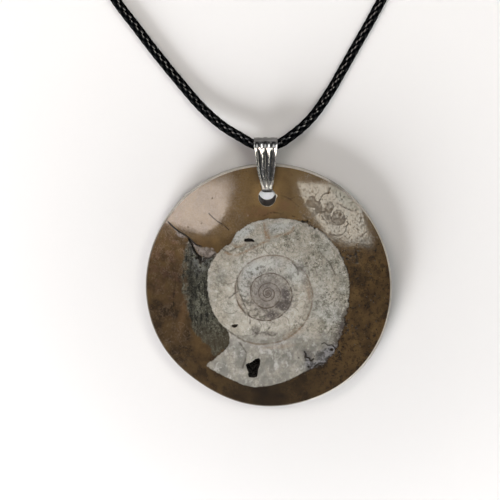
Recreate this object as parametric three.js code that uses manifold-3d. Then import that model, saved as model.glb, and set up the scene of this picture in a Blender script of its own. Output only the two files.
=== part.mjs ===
// Polished ammonite fossil, made up as a pendant: a domed disc of dark limestone with the coiled shell
// cut through its middle, a fluted bail that pinches into the drilled hole, and a braided cord that runs
// through the bail. It lies on its back. The origin is the middle of the flat on the disc's back, +Z is
// up out of the polished face and +Y points from the middle of the disc to the hole. Millimetres.

import * as THREE from 'three';
import { mergeVertices } from 'three/addons/utils/BufferGeometryUtils.js';
import Module from 'manifold-3d';

const wasm = await Module();
wasm.setup();

// Disc of stone
const FACE_RADIUS = 24.35; // edge of the polished face
const GIRDLE_RADIUS = 24.5; // widest part of the sawn edge
const THICKNESS = 8.4;
const GIRDLE_LOW = 2.25; // the sawn edge runs between these heights
const GIRDLE_HIGH = 4.45;
const FACE_EDGE_HEIGHT = 4.65; // where the dome of the face begins
const BACK_FLAT_RADIUS = 11;
const BACK_EDGE = { radius: 24.1, height: 2.0 };
const DISC_SEGMENTS = 80;
// The edge was ground by hand: it bulges at the lower right and is a little flat at the lower left.
const BULGE = { angle: -40, spread: 38, face: 0.25, girdle: 0.7 };
const FLAT_SPOT = { angle: 235, spread: 20, depth: 0.5 };

// Drilled hole, not quite square to the face
const HOLE_RADIUS = 1.82;
const HOLE_FRONT = { x: -0.25, y: 18.2, z: 6.3 }; // where its axis meets the face
const HOLE_LEAN_DEGREES = 6;
const HOLE_SEGMENTS = 28;

// Bail, folded from one strip of sheet
const SHEET = 0.35;
const LOOP = { y: 28.0, z: 3.2, radius: 1.84 }; // middle of the sheet round the cord
const FRONT_PRONG = { y: 19.43, tip: 4.9, bend: 6.4 };
const BACK_PRONG = { y: 19.83, tip: 2.2, bend: 0.78 };
const BEND = 0.5;
// y, left edge and right edge of the strip, seen from the front
const BAIL_EDGES = [
  [18.9, -1.05, 0.55], [20.35, -1.07, 0.57], [20.9, -1.42, 0.92], [22.75, -1.98, 1.15], [24.7, -2.28, 1.42],
  [26.7, -2.6, 1.65], [28.4, -2.95, 1.85], [30.4, -2.9, 1.85],
];

// Cord
const CORD_DIAMETER = 2.0;
const CORD_SIDES = 8;
const FLOOR_LEVEL = CORD_DIAMETER / 2 + 0.08; // height of the cord's middle where it lies down
const PLAY = 0.3; // clearance between pieces that touch

// Coil of the long ends, wound for storage. It lies flat, and the tie passes under it in a notch.
const COIL = { x: -3.6, y: 76.5, middle: 12, pitch: 2.1, layers: 2, lift: 0.08 };
const COIL_WIDTH = CORD_DIAMETER + COIL.pitch;
const COIL_HEIGHT = CORD_DIAMETER + (COIL.layers - 1) * COIL.pitch;
const COIL_INNER = COIL.middle - COIL_WIDTH / 2;
const COIL_OUTER = COIL.middle + COIL_WIDTH / 2;

// Route of the cord from the coil, down the left side, through the bail and back up the right side.
const LOWER_LAYER = COIL.lift + CORD_DIAMETER / 2;
const UPPER_LAYER = LOWER_LAYER + COIL.pitch;
const UPPER_END = 2.2; // height at which the upper layer's end comes out of the coil
const CORD_ROUTE = [
  [-8.9, 91.0, LOWER_LAYER], [-14.5, 90.6, LOWER_LAYER], [-20.4, 88.8, FLOOR_LEVEL],
  [-26.0, 85.6, FLOOR_LEVEL], [-30.6, 81.0, FLOOR_LEVEL], [-33.8, 75.2, FLOOR_LEVEL],
  [-34.9, 69.0, FLOOR_LEVEL], [-33.5, 62.6, FLOOR_LEVEL],
  [-30.1, 56.7, FLOOR_LEVEL], [-26.2, 51.5, FLOOR_LEVEL],
  [-22.8, 47.0, FLOOR_LEVEL], [-17.9, 40.9, 1.1], [-13.3, 35.6, 1.5], [-9.2, 32.0, 2.2],
  [-5.2, 29.6, 2.9], [-2.95, 28.4, 3.2], [-0.5, 28.15, 3.2], [1.85, 28.4, 3.2],
  [4.6, 30.1, 2.9], [8.4, 33.4, 2.1], [12.1, 38.5, 1.4], [14.6, 42.8, 1.1], [16.9, 46.9, FLOOR_LEVEL],
  [20.7, 53.7, FLOOR_LEVEL], [23.7, 59.9, FLOOR_LEVEL], [25.4, 66.3, FLOOR_LEVEL],
  [25.5, 72.8, FLOOR_LEVEL], [23.7, 79.0, 1.2], [20.0, 84.4, 1.6], [14.8, 88.4, 2.3],
  [8.6, 90.8, 2.95], [1.7, 91.1, UPPER_LAYER],
];
const CORD_STEPS = 80;

// Short ends of the cord inside the coil, each glued into a cast end piece
const TAIL_RADIUS = 7;
const TAIL_STEPS = 6;
const END_PIECES_Y = 5.64; // each lies this far from the middle of the coil
const END_MOUTH_X = -3.0; // where the cord enters it, from the middle of the coil
const BARREL = { radius: 1.5, length: 4.6 };
const END_HEIGHT = BARREL.radius + 0.02; // of an end piece's middle
const EYE = { radius: 1.35, wire: 0.42 };
const HOOK = { wire: 0.5, length: 4.4, width: 2.4 };

// Tie round the coil
const TIE = { thickness: 0.5, width: 2.4, notch: 0.8, headroom: 0.6, tail: 6.5, tailRadius: 0.55 };
const TIE_CORNER = 0.4; // cut across the inside corners of the strip

const radians = THREE.MathUtils.degToRad;

function finish(color, roughness, metalness) {
  return new THREE.MeshStandardMaterial({ color, roughness, metalness });
}

// A closed geometry as a solid that can be joined and cut
function toSolid(geometry) {
  const bare = geometry.clone();
  bare.deleteAttribute('normal');
  bare.deleteAttribute('uv');
  const merged = mergeVertices(bare, 1e-4);
  const vertProperties = new Float32Array(merged.attributes.position.array);
  const triVerts = new Uint32Array(merged.index.array);
  return new wasm.Manifold(new wasm.Mesh({ numProp: 3, vertProperties, triVerts }));
}

function toGeometry(solid) {
  const mesh = solid.getMesh();
  const geometry = new THREE.BufferGeometry();
  geometry.setAttribute('position', new THREE.BufferAttribute(mesh.vertProperties, 3));
  geometry.setIndex(new THREE.BufferAttribute(mesh.triVerts, 1));
  geometry.computeVertexNormals();
  return geometry;
}

function piece(name, geometry, material) {
  const mesh = new THREE.Mesh(geometry, material);
  mesh.name = name;
  return mesh;
}

// 1 at the given angle round the disc, falling smoothly to 0 beyond the spread
function bump(angle, { angle: middle, spread }) {
  let away = (THREE.MathUtils.radToDeg(angle) - middle) % 360;
  if (away > 180) away -= 360;
  if (away < -180) away += 360;
  return Math.exp(-((away / spread) ** 2));
}

function discGeometry() {
  const sagitta = THICKNESS - FACE_EDGE_HEIGHT;
  const faceCurve = (FACE_RADIUS ** 2 + sagitta ** 2) / (2 * sagitta);
  const faceHeight = (r) => THICKNESS - faceCurve + Math.sqrt(faceCurve ** 2 - r ** 2);
  const backRise = BACK_EDGE.height / (BACK_EDGE.radius ** 2 - BACK_FLAT_RADIUS ** 2);
  const backHeight = (r) => backRise * (r ** 2 - BACK_FLAT_RADIUS ** 2);

  const profile = [new THREE.Vector2(0, 0), new THREE.Vector2(BACK_FLAT_RADIUS, 0)];
  for (const r of [14.5, 17.5, 20, 22.2, BACK_EDGE.radius]) {
    profile.push(new THREE.Vector2(r, backHeight(r)));
  }
  profile.push(new THREE.Vector2(GIRDLE_RADIUS, GIRDLE_LOW));
  profile.push(new THREE.Vector2(FACE_RADIUS + 0.05, GIRDLE_HIGH));
  for (const r of [FACE_RADIUS - 0.25, 22, 19, 16, 13, 10, 7, 4]) {
    profile.push(new THREE.Vector2(r, faceHeight(r)));
  }
  profile.push(new THREE.Vector2(0, THICKNESS));

  const lathe = new THREE.LatheGeometry(profile, DISC_SEGMENTS);
  lathe.rotateX(Math.PI / 2); // the lathe's axis becomes +Z
  const position = lathe.attributes.position;
  for (let i = 0; i < position.count; i++) {
    const x = position.getX(i);
    const y = position.getY(i);
    const r = Math.hypot(x, y);
    if (r < BACK_FLAT_RADIUS + 0.1) continue;
    const angle = Math.atan2(y, x);
    const onFace = position.getZ(i) > GIRDLE_HIGH - 0.1;
    const bulge = (onFace ? BULGE.face : BULGE.girdle) * bump(angle, BULGE);
    const shift = (bulge - FLAT_SPOT.depth * bump(angle, FLAT_SPOT)) * (r / GIRDLE_RADIUS) ** 4;
    position.setXY(i, x * (1 + shift / r), y * (1 + shift / r));
  }
  return lathe;
}

function fossilDisc() {
  const drill = new THREE.CylinderGeometry(HOLE_RADIUS, HOLE_RADIUS, 3 * THICKNESS, HOLE_SEGMENTS);
  drill.rotateX(Math.PI / 2 + radians(HOLE_LEAN_DEGREES));
  drill.translate(HOLE_FRONT.x, HOLE_FRONT.y, HOLE_FRONT.z);
  const solid = toSolid(discGeometry()).subtract(toSolid(drill));
  return piece('fossil_disc', toGeometry(solid), finish(0x5b4936, 0.14, 0));
}

// Side view of the bail's strip, as (y, z): prong, front leg, round the cord, back leg, prong
function bailCentreline() {
  const path = new THREE.Path();
  const { y, z, radius } = LOOP;
  path.moveTo(FRONT_PRONG.y, FRONT_PRONG.tip);
  path.lineTo(FRONT_PRONG.y, FRONT_PRONG.bend - BEND);
  path.quadraticCurveTo(FRONT_PRONG.y, FRONT_PRONG.bend, FRONT_PRONG.y + BEND, FRONT_PRONG.bend - 0.08);
  path.absarc(y, z, radius, radians(80), radians(-84), true);
  path.lineTo(BACK_PRONG.y + BEND, BACK_PRONG.bend);
  path.quadraticCurveTo(BACK_PRONG.y, BACK_PRONG.bend, BACK_PRONG.y, BACK_PRONG.bend + BEND);
  path.lineTo(BACK_PRONG.y, BACK_PRONG.tip);
  return path;
}

function bailGeometry() {
  const line = bailCentreline().getPoints(10);
  const side = (sign) => line.map((point, i) => {
    const before = line[Math.max(i - 1, 0)];
    const after = line[Math.min(i + 1, line.length - 1)];
    const along = after.clone().sub(before).normalize();
    return new THREE.Vector2(point.x - sign * along.y * SHEET / 2, point.y + sign * along.x * SHEET / 2);
  });
  const outline = new THREE.Shape([...side(1), ...side(-1).reverse()]);
  const leftmost = Math.min(...BAIL_EDGES.map(([, left]) => left));
  const rightmost = Math.max(...BAIL_EDGES.map(([, , right]) => right));
  const strip = new THREE.ExtrudeGeometry(outline, { depth: rightmost - leftmost, bevelEnabled: false });
  // outline x, y and the extrusion become world y, z and x
  strip.applyMatrix4(new THREE.Matrix4().set(0, 0, 1, leftmost, 1, 0, 0, 0, 0, 1, 0, 0, 0, 0, 0, 1));

  const left = BAIL_EDGES.map(([y, x]) => new THREE.Vector2(x, y));
  const right = BAIL_EDGES.map(([y, , x]) => new THREE.Vector2(x, y));
  const front = new THREE.Shape([...right, ...left.reverse()]);
  const blank = new THREE.ExtrudeGeometry(front, { depth: THICKNESS, bevelEnabled: false });
  return toGeometry(toSolid(strip).intersect(toSolid(blank)));
}

function cordSection() {
  const section = new THREE.Shape();
  for (let i = 0; i < CORD_SIDES; i++) {
    const angle = (i / CORD_SIDES) * 2 * Math.PI;
    const corner = [Math.cos(angle) * CORD_DIAMETER / 2, Math.sin(angle) * CORD_DIAMETER / 2];
    if (i === 0) section.moveTo(...corner);
    else section.lineTo(...corner);
  }
  section.closePath();
  return section;
}

function cordTube(points, steps) {
  const corners = points.map((point) => new THREE.Vector3(...point));
  const path = new THREE.CatmullRomCurve3(corners, false, 'centripetal');
  return new THREE.ExtrudeGeometry(cordSection(), { extrudePath: path, steps, bevelEnabled: false });
}

function coilRing() {
  const corner = 0.6;
  const low = COIL.lift;
  const high = COIL.lift + COIL_HEIGHT;
  const outline = [
    [COIL_INNER + corner, low], [COIL_OUTER - corner, low], [COIL_OUTER, low + corner],
    [COIL_OUTER, high - corner], [COIL_OUTER - corner, high], [COIL_INNER + corner, high],
    [COIL_INNER, high - corner], [COIL_INNER, low + corner], [COIL_INNER + corner, low],
  ].map(([r, z]) => new THREE.Vector2(r, z));
  const ring = new THREE.LatheGeometry(outline, 56);
  ring.rotateX(Math.PI / 2);
  const notch = new THREE.BoxGeometry(2 * COIL_WIDTH, TIE.width + 2 * PLAY, 2 * TIE.notch);
  notch.translate(COIL.middle, 0, 0);
  const geometry = toGeometry(toSolid(ring).subtract(toSolid(notch)));
  geometry.translate(COIL.x, COIL.y, 0);
  return geometry;
}

// The last bend of each end, from the inner turn of the coil to the mouth of its end piece. side is 1 for
// the end that lies towards +Y and -1 for the other, which is on its way down from the upper layer.
function tailPoints(side, startHeight) {
  const points = [];
  const centreX = END_MOUTH_X - PLAY;
  const centreY = END_PIECES_Y - TAIL_RADIUS;
  for (let i = 0; i <= 4; i++) {
    const angle = radians(126 - i * 9);
    const way = THREE.MathUtils.smoothstep(i, 0, 4);
    const height = THREE.MathUtils.lerp(startHeight, END_HEIGHT, way);
    const x = COIL.x + centreX + TAIL_RADIUS * Math.cos(angle);
    const y = COIL.y + side * (centreY + TAIL_RADIUS * Math.sin(angle));
    points.push([x, y, height]);
  }
  return points;
}

// Barrel of an end piece, lying along +X with its mouth at the origin
function barrel() {
  const { radius, length } = BARREL;
  const profile = [
    [0, 0], [radius - 0.2, 0], [radius, 0.25], [radius, 1.1], [radius - 0.18, 1.3],
    [radius - 0.18, length - 1.2], [radius - 0.35, length - 0.7], [radius - 0.8, length], [0, length],
  ].map(([r, y]) => new THREE.Vector2(r, y));
  const turned = new THREE.LatheGeometry(profile, 20);
  turned.rotateZ(-Math.PI / 2);
  return toSolid(turned);
}

function eyePiece() {
  const eye = new THREE.TorusGeometry(EYE.radius, EYE.wire, 8, 20);
  eye.translate(BARREL.length + EYE.radius, 0, 0);
  return toGeometry(barrel().add(toSolid(eye)));
}

function hookPiece() {
  const { wire, length, width } = HOOK;
  const start = BARREL.length - 0.6;
  const points = [
    [start, 0], [start + 1.2, 0], [start + length - 0.6, -0.15], [start + length, 0.5],
    [start + length, width - 0.8], [start + length - 0.8, width],
    [start + length - 2.2, width - 0.25], [start + length - 2.9, width + 0.1],
  ].map(([x, y]) => new THREE.Vector3(x, y, 0));
  const section = new THREE.Shape();
  section.absarc(0, 0, wire, 0, 2 * Math.PI);
  const path = new THREE.CatmullRomCurve3(points, false, 'centripetal');
  const bend = { extrudePath: path, steps: 20, curveSegments: 5, bevelEnabled: false };
  const hook = new THREE.ExtrudeGeometry(section, bend);
  return toGeometry(barrel().add(toSolid(hook)));
}

function endPiece(name, geometry, side) {
  geometry.translate(COIL.x + END_MOUTH_X, COIL.y + side * END_PIECES_Y, END_HEIGHT);
  return piece(name, geometry, finish(0xc9c9c6, 0.25, 1));
}

// A flat strip passed round the section of the coil, its ends twisted together on top
function tie() {
  const { thickness, width, notch, headroom, tail, tailRadius } = TIE;
  const top = COIL.lift + COIL_HEIGHT + headroom;
  const frame = (grow) => {
    const left = COIL_INNER - PLAY - grow;
    const right = COIL_OUTER + PLAY + grow;
    const low = notch - PLAY - grow;
    const high = top + grow;
    const cut = TIE_CORNER + grow * 0.6;
    return [
      [left + cut, low], [right - cut, low], [right, low + cut], [right, high - cut],
      [right - cut, high], [left + cut, high], [left, high - cut], [left, low + cut],
    ].map(([x, y]) => new THREE.Vector2(x, y));
  };
  const outline = new THREE.Shape(frame(thickness));
  outline.holes.push(new THREE.Path(frame(0)));
  const band = new THREE.ExtrudeGeometry(outline, { depth: width, bevelEnabled: false });
  band.rotateX(Math.PI / 2);
  band.translate(0, width / 2, 0);
  const twist = new THREE.CapsuleGeometry(tailRadius, tail - 2 * tailRadius, 3, 8);
  twist.rotateZ(Math.PI / 2);
  twist.rotateZ(radians(18));
  twist.translate(COIL.middle + 1.2, 0.4, top + thickness + tailRadius * 0.7);
  const solid = toSolid(band).add(toSolid(twist));
  const geometry = toGeometry(solid);
  geometry.translate(COIL.x, COIL.y, 0);
  return geometry;
}

const cordFinish = finish(0x0c0c0d, 0.5, 0);
const group = new THREE.Group();
group.add(fossilDisc());
group.add(piece('bail', bailGeometry(), finish(0xcfcfcb, 0.2, 1)));
group.add(piece('cord', cordTube(CORD_ROUTE, CORD_STEPS), cordFinish));
group.add(piece('cord_coil', coilRing(), cordFinish));
group.add(piece('cord_tail_eye', cordTube(tailPoints(1, LOWER_LAYER), TAIL_STEPS), cordFinish));
group.add(piece('cord_tail_hook', cordTube(tailPoints(-1, UPPER_END), TAIL_STEPS), cordFinish));
group.add(endPiece('cord_end_eye', eyePiece(), 1));
group.add(endPiece('cord_end_hook', hookPiece(), -1));
group.add(piece('coil_tie', tie(), finish(0x2a2a2c, 0.6, 0)));

export default group;
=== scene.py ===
"""A polished ammonite made up as a pendant, lying on its back on a pale floor.

The stone is a domed disc of brown limestone with the coiled shell cut through its middle. A fluted
bail hooks into its drilled hole and slides on a braided cord, whose long ends are wound in a tied coil.
"""

import math

import bmesh
import bpy
import numpy as np
from mathutils import Matrix, Vector
from mathutils.geometry import delaunay_2d_cdt


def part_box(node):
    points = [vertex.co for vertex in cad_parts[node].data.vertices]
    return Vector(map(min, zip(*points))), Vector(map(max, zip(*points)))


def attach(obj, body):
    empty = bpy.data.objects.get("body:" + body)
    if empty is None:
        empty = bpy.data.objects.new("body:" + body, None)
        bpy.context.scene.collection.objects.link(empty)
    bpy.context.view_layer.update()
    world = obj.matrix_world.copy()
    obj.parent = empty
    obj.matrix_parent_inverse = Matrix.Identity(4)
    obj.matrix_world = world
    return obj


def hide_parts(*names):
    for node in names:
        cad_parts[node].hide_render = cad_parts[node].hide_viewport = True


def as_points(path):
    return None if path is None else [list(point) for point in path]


bl_info = {
    "name": "Ammonite pendant",
    "version": (1, 0, 0),
    "blender": (4, 5, 0),
    "location": "View3D > Sidebar > Pendant",
    "description": "Builds a polished ammonite pendant on its braided cord",
    "category": "Add Mesh",
}

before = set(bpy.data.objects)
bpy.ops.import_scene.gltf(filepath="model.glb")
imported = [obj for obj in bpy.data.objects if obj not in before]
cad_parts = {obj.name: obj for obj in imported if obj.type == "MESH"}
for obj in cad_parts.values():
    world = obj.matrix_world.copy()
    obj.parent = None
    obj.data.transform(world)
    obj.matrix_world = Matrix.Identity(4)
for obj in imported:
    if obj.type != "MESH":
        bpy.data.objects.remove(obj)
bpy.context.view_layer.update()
BODY = "root"
MM = 0.001  # shapes are worked out in millimetres and made in metres

# Disc of stone, in millimetres
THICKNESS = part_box("fossil_disc")[1].z / MM
FACE_RADIUS = 24.35
GIRDLE_RADIUS = 24.5
GIRDLE_LOW = 2.25
GIRDLE_HIGH = 4.45
FACE_EDGE_HEIGHT = 4.65
BACK_FLAT_RADIUS = 11
BACK_EDGE_RADIUS = 24.1
BACK_EDGE_HEIGHT = 2.0
BULGE_ANGLE, BULGE_SPREAD, BULGE_FACE, BULGE_GIRDLE = -40, 33, 0.45, 0.95
FLAT_ANGLE, FLAT_SPREAD, FLAT_DEPTH = 235, 20, 0.5
HOLE_RADIUS = 1.7
RIM_POINTS, HOLE_POINTS = 420, 96
FINE_SPACING = 0.095  # between points of the face beside its small features
FINE_REACH = 0.35  # how far from such a feature they go
FINE_SEARCH = 0.75  # how far from one the coarse points lie that they are sought beside
HOLE_FRONT = (-0.25, 18.2, 6.3)
HOLE_LEAN = math.radians(6)

# Bail
LOOP_Y, LOOP_Z, LOOP_RADIUS = 27.8, 3.2, 1.84
FRONT_PRONG_Y, FRONT_PRONG_TIP, FRONT_BEND = 19.43, 4.9, 6.4
BACK_PRONG_Y, BACK_PRONG_TIP, BACK_BEND = 19.83, 2.2, 0.78
BEND = 0.5
LEG_LENGTH = 7.8  # of the front leg, which starts level and leans down towards the loop
LEG_DROP, LEG_CURVE = 0.306, 0.134
LOOP_TOP_Y, LOOP_TOP_REACH, LOOP_TOP_RISE = 27.42, 2.22, 2.7  # the loop's front quarter is an ellipse
RIB_PITCH = 0.32  # of the strip's width
BAIL_ACROSS = 45  # points across the strip
BAIL_EDGES = (  # y, left x, right x
    (18.9, -1.3, 0.76), (20.35, -1.38, 0.84), (20.9, -1.55, 1.0), (22.75, -2.1, 1.22),
    (24.7, -2.44, 1.48), (26.7, -2.74, 1.7), (28.4, -2.95, 1.85), (30.4, -2.9, 1.85),
)

# Cord, from its coil down the left side, through the bail and up the right side
FLOOR_LEVEL = 1.08
LOWER_LAYER = 1.08
UPPER_LAYER = 3.18
CORD_ROUTE = (
    (-8.9, 91.0, LOWER_LAYER), (-14.5, 90.6, LOWER_LAYER), (-20.4, 88.8, FLOOR_LEVEL),
    (-26.0, 85.6, FLOOR_LEVEL), (-30.6, 81.0, FLOOR_LEVEL), (-33.8, 75.2, FLOOR_LEVEL),
    (-34.9, 69.0, FLOOR_LEVEL), (-33.5, 62.6, FLOOR_LEVEL), (-30.1, 56.7, FLOOR_LEVEL),
    (-26.2, 51.5, FLOOR_LEVEL), (-22.8, 47.0, FLOOR_LEVEL), (-17.9, 40.9, 1.1), (-13.3, 35.6, 1.5),
    (-9.2, 32.0, 2.2), (-5.2, 29.6, 2.9), (-2.95, 28.4, 3.2), (-0.5, 28.15, 3.2), (1.85, 28.4, 3.2),
    (4.6, 30.1, 2.9), (8.4, 33.4, 2.1), (12.1, 38.5, 1.4), (14.6, 42.8, 1.1), (16.9, 46.9, FLOOR_LEVEL),
    (20.7, 53.7, FLOOR_LEVEL), (23.7, 59.9, FLOOR_LEVEL), (25.4, 66.3, FLOOR_LEVEL),
    (25.5, 72.8, FLOOR_LEVEL), (23.7, 79.0, 1.2), (20.0, 84.4, 1.6), (14.8, 88.4, 2.3),
    (8.6, 90.8, 2.95), (1.7, 91.1, UPPER_LAYER),
)
BRAID_RELIEF, BRAID_SIDES, BRAID_SPACING = 0.18, 36, 0.19  # depth, points round and along the cord
COIL_X, COIL_Y = -3.6, 76.5
COIL_MIDDLE, COIL_PITCH = 12, 2.1
COIL_ENTRY = 15.45  # from the middle of the coil, where each strand comes to it
COIL_POINTS = 18  # for each turn
JOINS_BY = 75  # degrees after its entry, where a strand lies on the outer turn
STEPS_IN = (280, 430)  # degrees after its entry, over which it moves in to the inner turn
TIE_RISE = 0.47  # the turns rise by this much over the strip of the tie
TIE_SPREAD = math.radians(16)  # of that rise, to each side
TAIL_RADIUS = 7
TAIL_CENTRE_X, TAIL_CENTRE_Y = -3.3, -1.36
END_Y, END_MOUTH_X, END_Z = 5.64, -3.0, 1.52
BARREL_RADIUS, BARREL_LENGTH = 1.5, 4.6
EYE_RADIUS, EYE_WIRE = 1.35, 0.42
HOOK_WIRE, HOOK_LENGTH, HOOK_WIDTH = 0.5, 4.4, 2.4

# Shape of the shell's spiral: radius in millimetres = START * e ** (GROWTH * turns)
SPIRAL_X, SPIRAL_Y = -0.11, -0.68
SPIRAL_START = 0.9203  # natural logarithm of the radius at turn 0
SPIRAL_GROWTH = 0.62935  # of that logarithm, in each turn
CROSS_WALLS = 15  # in each turn

# Outlines on the polished face, in millimetres from the middle of the disc
SHELL = (
    (16.0, -1.5), (16.0, 1.7), (15.0, 5.3), (13.4, 8.2), (11.0, 10.8), (8.6, 12.6), (6.2, 13.5),
    (3.5, 14.0), (0.3, 14.0), (-2.9, 13.4), (-4.4, 12.6), (-6.4, 11.2), (-7.4, 9.3), (-9.2, 8.1),
    (-10.4, 6.7), (-11.6, 4.6), (-12.1, 1.8), (-11.9, -1.2), (-11.2, -4.0), (-9.8, -6.6), (-8.0, -8.6),
    (-7.8, -10.5), (-8.1, -11.7), (-10.2, -13.9), (-12.4, -15.9), (-10.4, -17.3), (-7.6, -18.7),
    (-4.6, -19.9), (-2.2, -20.2), (0.4, -19.8), (3.4, -18.9), (6.3, -17.4), (8.7, -16.2), (11.3, -14.8),
    (13.1, -12.5), (13.9, -10.5), (14.9, -8.0), (15.6, -4.7),
)
CHAMBER = (
    (-15.7, 9.7), (-16.7, 6.5), (-17.2, 2.7), (-17.1, -0.3), (-16.4, -3.1), (-15.6, -6.0),
    (-15.0, -8.4), (-13.2, -10.6), (-11.6, -12.0), (-11.0, -13.7), (-9.2, -12.6), (-7.6, -11.5),
    (-7.0, -10.0), (-7.6, -8.2), (-9.4, -6.2), (-10.8, -3.8), (-11.5, -1.0), (-11.7, 1.8),
    (-11.2, 4.6), (-10.4, 6.7), (-12.5, 6.4), (-14.1, 7.2),
)
VEIN = (
    (-19.9, 13.2), (-18.1, 11.6), (-15.9, 10.1), (-13.5, 8.5), (-12.0, 8.3), (-10.4, 7.4),
    (-10.2, 6.5), (-12.5, 6.4), (-13.9, 7.0), (-15.5, 9.5), (-17.5, 10.2), (-19.1, 12.3),
)
GREY_PATCH = (
    (7.3, -12.8), (8.1, -13.8), (9.1, -14.7), (10.3, -12.4), (12.5, -11.4), (13.5, -11.9),
    (13.9, -13.6), (12.3, -15.0), (10.9, -16.0), (7.9, -16.6),
)
# A scrap of another fossil near the right edge, which took the polish less well than the stone round it
DULL_PATCHES = (
    ((8.0, 18.2), (8.9, 18.3), (9.6, 17.3), (10.0, 17.4), (9.4, 16.2), (7.6, 16.4), (7.4, 16.9)),
    ((10.1, 17.3), (10.7, 16.1), (11.5, 16.2), (11.5, 17.0), (12.3, 17.2), (13.0, 16.4), (12.5, 15.4),
     (12.2, 14.8), (12.3, 14.0), (11.6, 13.7), (10.9, 14.7), (9.8, 15.1), (9.0, 14.4), (8.5, 14.4),
     (8.9, 15.4), (9.5, 16.0)),
    ((12.8, 14.9), (13.5, 15.6), (14.5, 15.3), (15.2, 14.0), (15.0, 13.0), (13.8, 12.6), (12.6, 12.9),
     (12.4, 13.7)),
)
DULL_LINE_HALF = 0.08  # half the width of the lines beside it
DULL_LINES = (
    ((10.0, 17.3), (10.7, 18.5), (11.6, 19.0), (12.3, 19.8)),
    ((15.4, 13.9), (15.8, 12.9), (15.4, 12.4), (15.3, 11.5), (14.4, 10.7), (13.3, 10.6), (12.0, 10.9)),
    ((10.5, 14.5), (11.6, 13.1), (12.3, 13.2)),
    ((13.5, 16.9), (15.4, 15.9), (16.9, 15.3), (17.8, 15.7)),
    ((18.0, 10.0), (18.9, 10.7), (19.5, 11.3)),
)
# Thin lines in the shell: rusty ones, and dark ones along its broken walls
RUST_LINES = (
    ((-0.9, 13.2), (-0.6, 11.4), (0.1, 10.3), (2.3, 10.8), (4.3, 11.4), (5.0, 12.4)),
    ((-8.6, 7.4), (-6.4, 6.9), (-4.0, 7.9), (-0.5, 9.7)),
    ((-8.2, 9.9), (-6.4, 8.5), (-4.6, 9.0)),
)
STONE_LINES = (  # faint ones in the brown stone
    ((1.6, 18.7), (3.0, 18.4), (4.4, 17.7), (5.9, 16.4)),
    ((4.2, 17.8), (5.4, 18.3), (6.4, 18.2)),
    ((-2.4, 15.0), (-1.0, 14.6), (0.6, 15.3), (2.6, 15.0)),
    ((4.6, 14.6), (5.8, 14.3), (6.8, 14.7), (7.6, 14.0)),
    ((-19.0, 4.0), (-18.4, 1.0), (-18.9, -2.5), (-18.0, -6.0)),
)
DARK_LINES = (
    ((-3.2, -8.0), (-2.4, -8.9), (-2.8, -9.6)),
    ((-2.4, -8.9), (-0.8, -8.6), (0.6, -9.3), (1.7, -8.9)),
    ((-0.6, -8.7), (0.2, -7.6)),
    ((-6.2, 2.8), (-6.0, 0.4), (-5.0, -2.4), (-3.8, -5.2), (-3.6, -7.0)),
    ((-7.8, -1.7), (-6.2, -0.4)),
    ((-5.6, -3.2), (-4.4, -5.2)),
    ((-8.6, -7.8), (-7.4, -8.8), (-4.6, -10.6)),
    ((-5.8, -10.8), (-4.4, -13.2), (-5.4, -16.8)),
    ((10.3, 7.2), (12.1, 5.2), (13.3, 2.8)),
    ((7.5, 5.4), (8.1, 2.8)),
    ((-9.2, 8.2), (-8.0, 7.5), (-6.4, 8.3)),
    ((4.6, 5.6), (5.6, 4.4), (5.9, 3.0)),
    ((1.4, -3.6), (2.6, -2.6), (4.4, -3.0)),
    ((0.6, 6.4), (1.0, 7.2), (0.2, 7.9)),
)
# Cracks are ((points), half width, depth)
CRACKS = (
    (((-19.9, 13.1), (-18.2, 11.6), (-16.7, 10.7), (-15.5, 9.9), (-14.3, 8.8), (-13.3, 8.5)), 0.11, 0.35),
    (((-15.7, 9.9), (-15.1, 8.7), (-14.5, 7.3), (-13.7, 6.4), (-13.5, 5.2)), 0.2, 0.55),
    (((-13.1, 5.4), (-12.4, 6.1), (-11.4, 6.3), (-10.6, 7.1)), 0.1, 0.25),
    (((-11.8, 15.0), (-10.4, 13.7), (-8.8, 12.7), (-7.8, 11.8)), 0.03, 0.05),
    (((7.2, -12.7), (7.5, -13.3), (7.3, -13.8), (8.1, -14.0), (8.4, -14.6), (9.0, -14.2)), 0.11, 0.35),
    (((10.6, -11.1), (11.2, -10.9), (11.8, -11.4), (12.7, -11.4), (13.3, -12.2)), 0.06, 0.2),
    (((9.1, -16.0), (10.0, -15.2), (10.9, -15.1)), 0.09, 0.3),
)
# Cavities are ((outline), depth)
CAVITIES = (
    (((-4.3, -15.3), (-3.4, -14.9), (-2.5, -14.2), (-1.7, -14.1), (-1.6, -15.2), (-2.0, -16.5),
      (-2.3, -18.0), (-3.9, -18.1), (-4.0, -17.0), (-4.4, -15.9)), 2.6),
    (((-4.7, 10.1), (-3.6, 10.25), (-2.9, 9.9), (-2.75, 9.4), (-3.5, 9.55), (-4.7, 9.5)), 1.3),
    (((-7.4, -7.2), (-6.6, -6.95), (-5.95, -7.0), (-6.3, -7.65), (-7.1, -7.75)), 0.6),
    (((-14.0, 6.9), (-13.3, 6.7), (-13.0, 6.0), (-13.4, 5.5), (-14.0, 6.0)), 0.8),
    (((6.3, 13.6), (6.9, 13.75), (7.3, 13.4), (6.7, 13.1)), 0.6),
    (((12.2, -12.1), (12.8, -11.9), (13.0, -12.5), (12.4, -12.7)), 0.5),
)
PIT_CLUSTERS = (  # x, y, spread, how many, largest radius
    (17.4, 6.6, 1.4, 14, 0.34), (7.2, 13.5, 0.7, 9, 0.26), (19.0, -2.0, 2.8, 16, 0.2),
    (15.9, -7.4, 0.9, 9, 0.32), (17.0, -9.0, 2.8, 14, 0.2), (12.6, -12.4, 1.0, 8, 0.3),
    (8.4, -14.2, 0.9, 5, 0.24), (-13.6, 6.2, 0.5, 4, 0.34), (20.6, 3.0, 1.2, 7, 0.24),
)
SCATTERED_PITS, PIT_REACH = 45, 23.2
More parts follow.
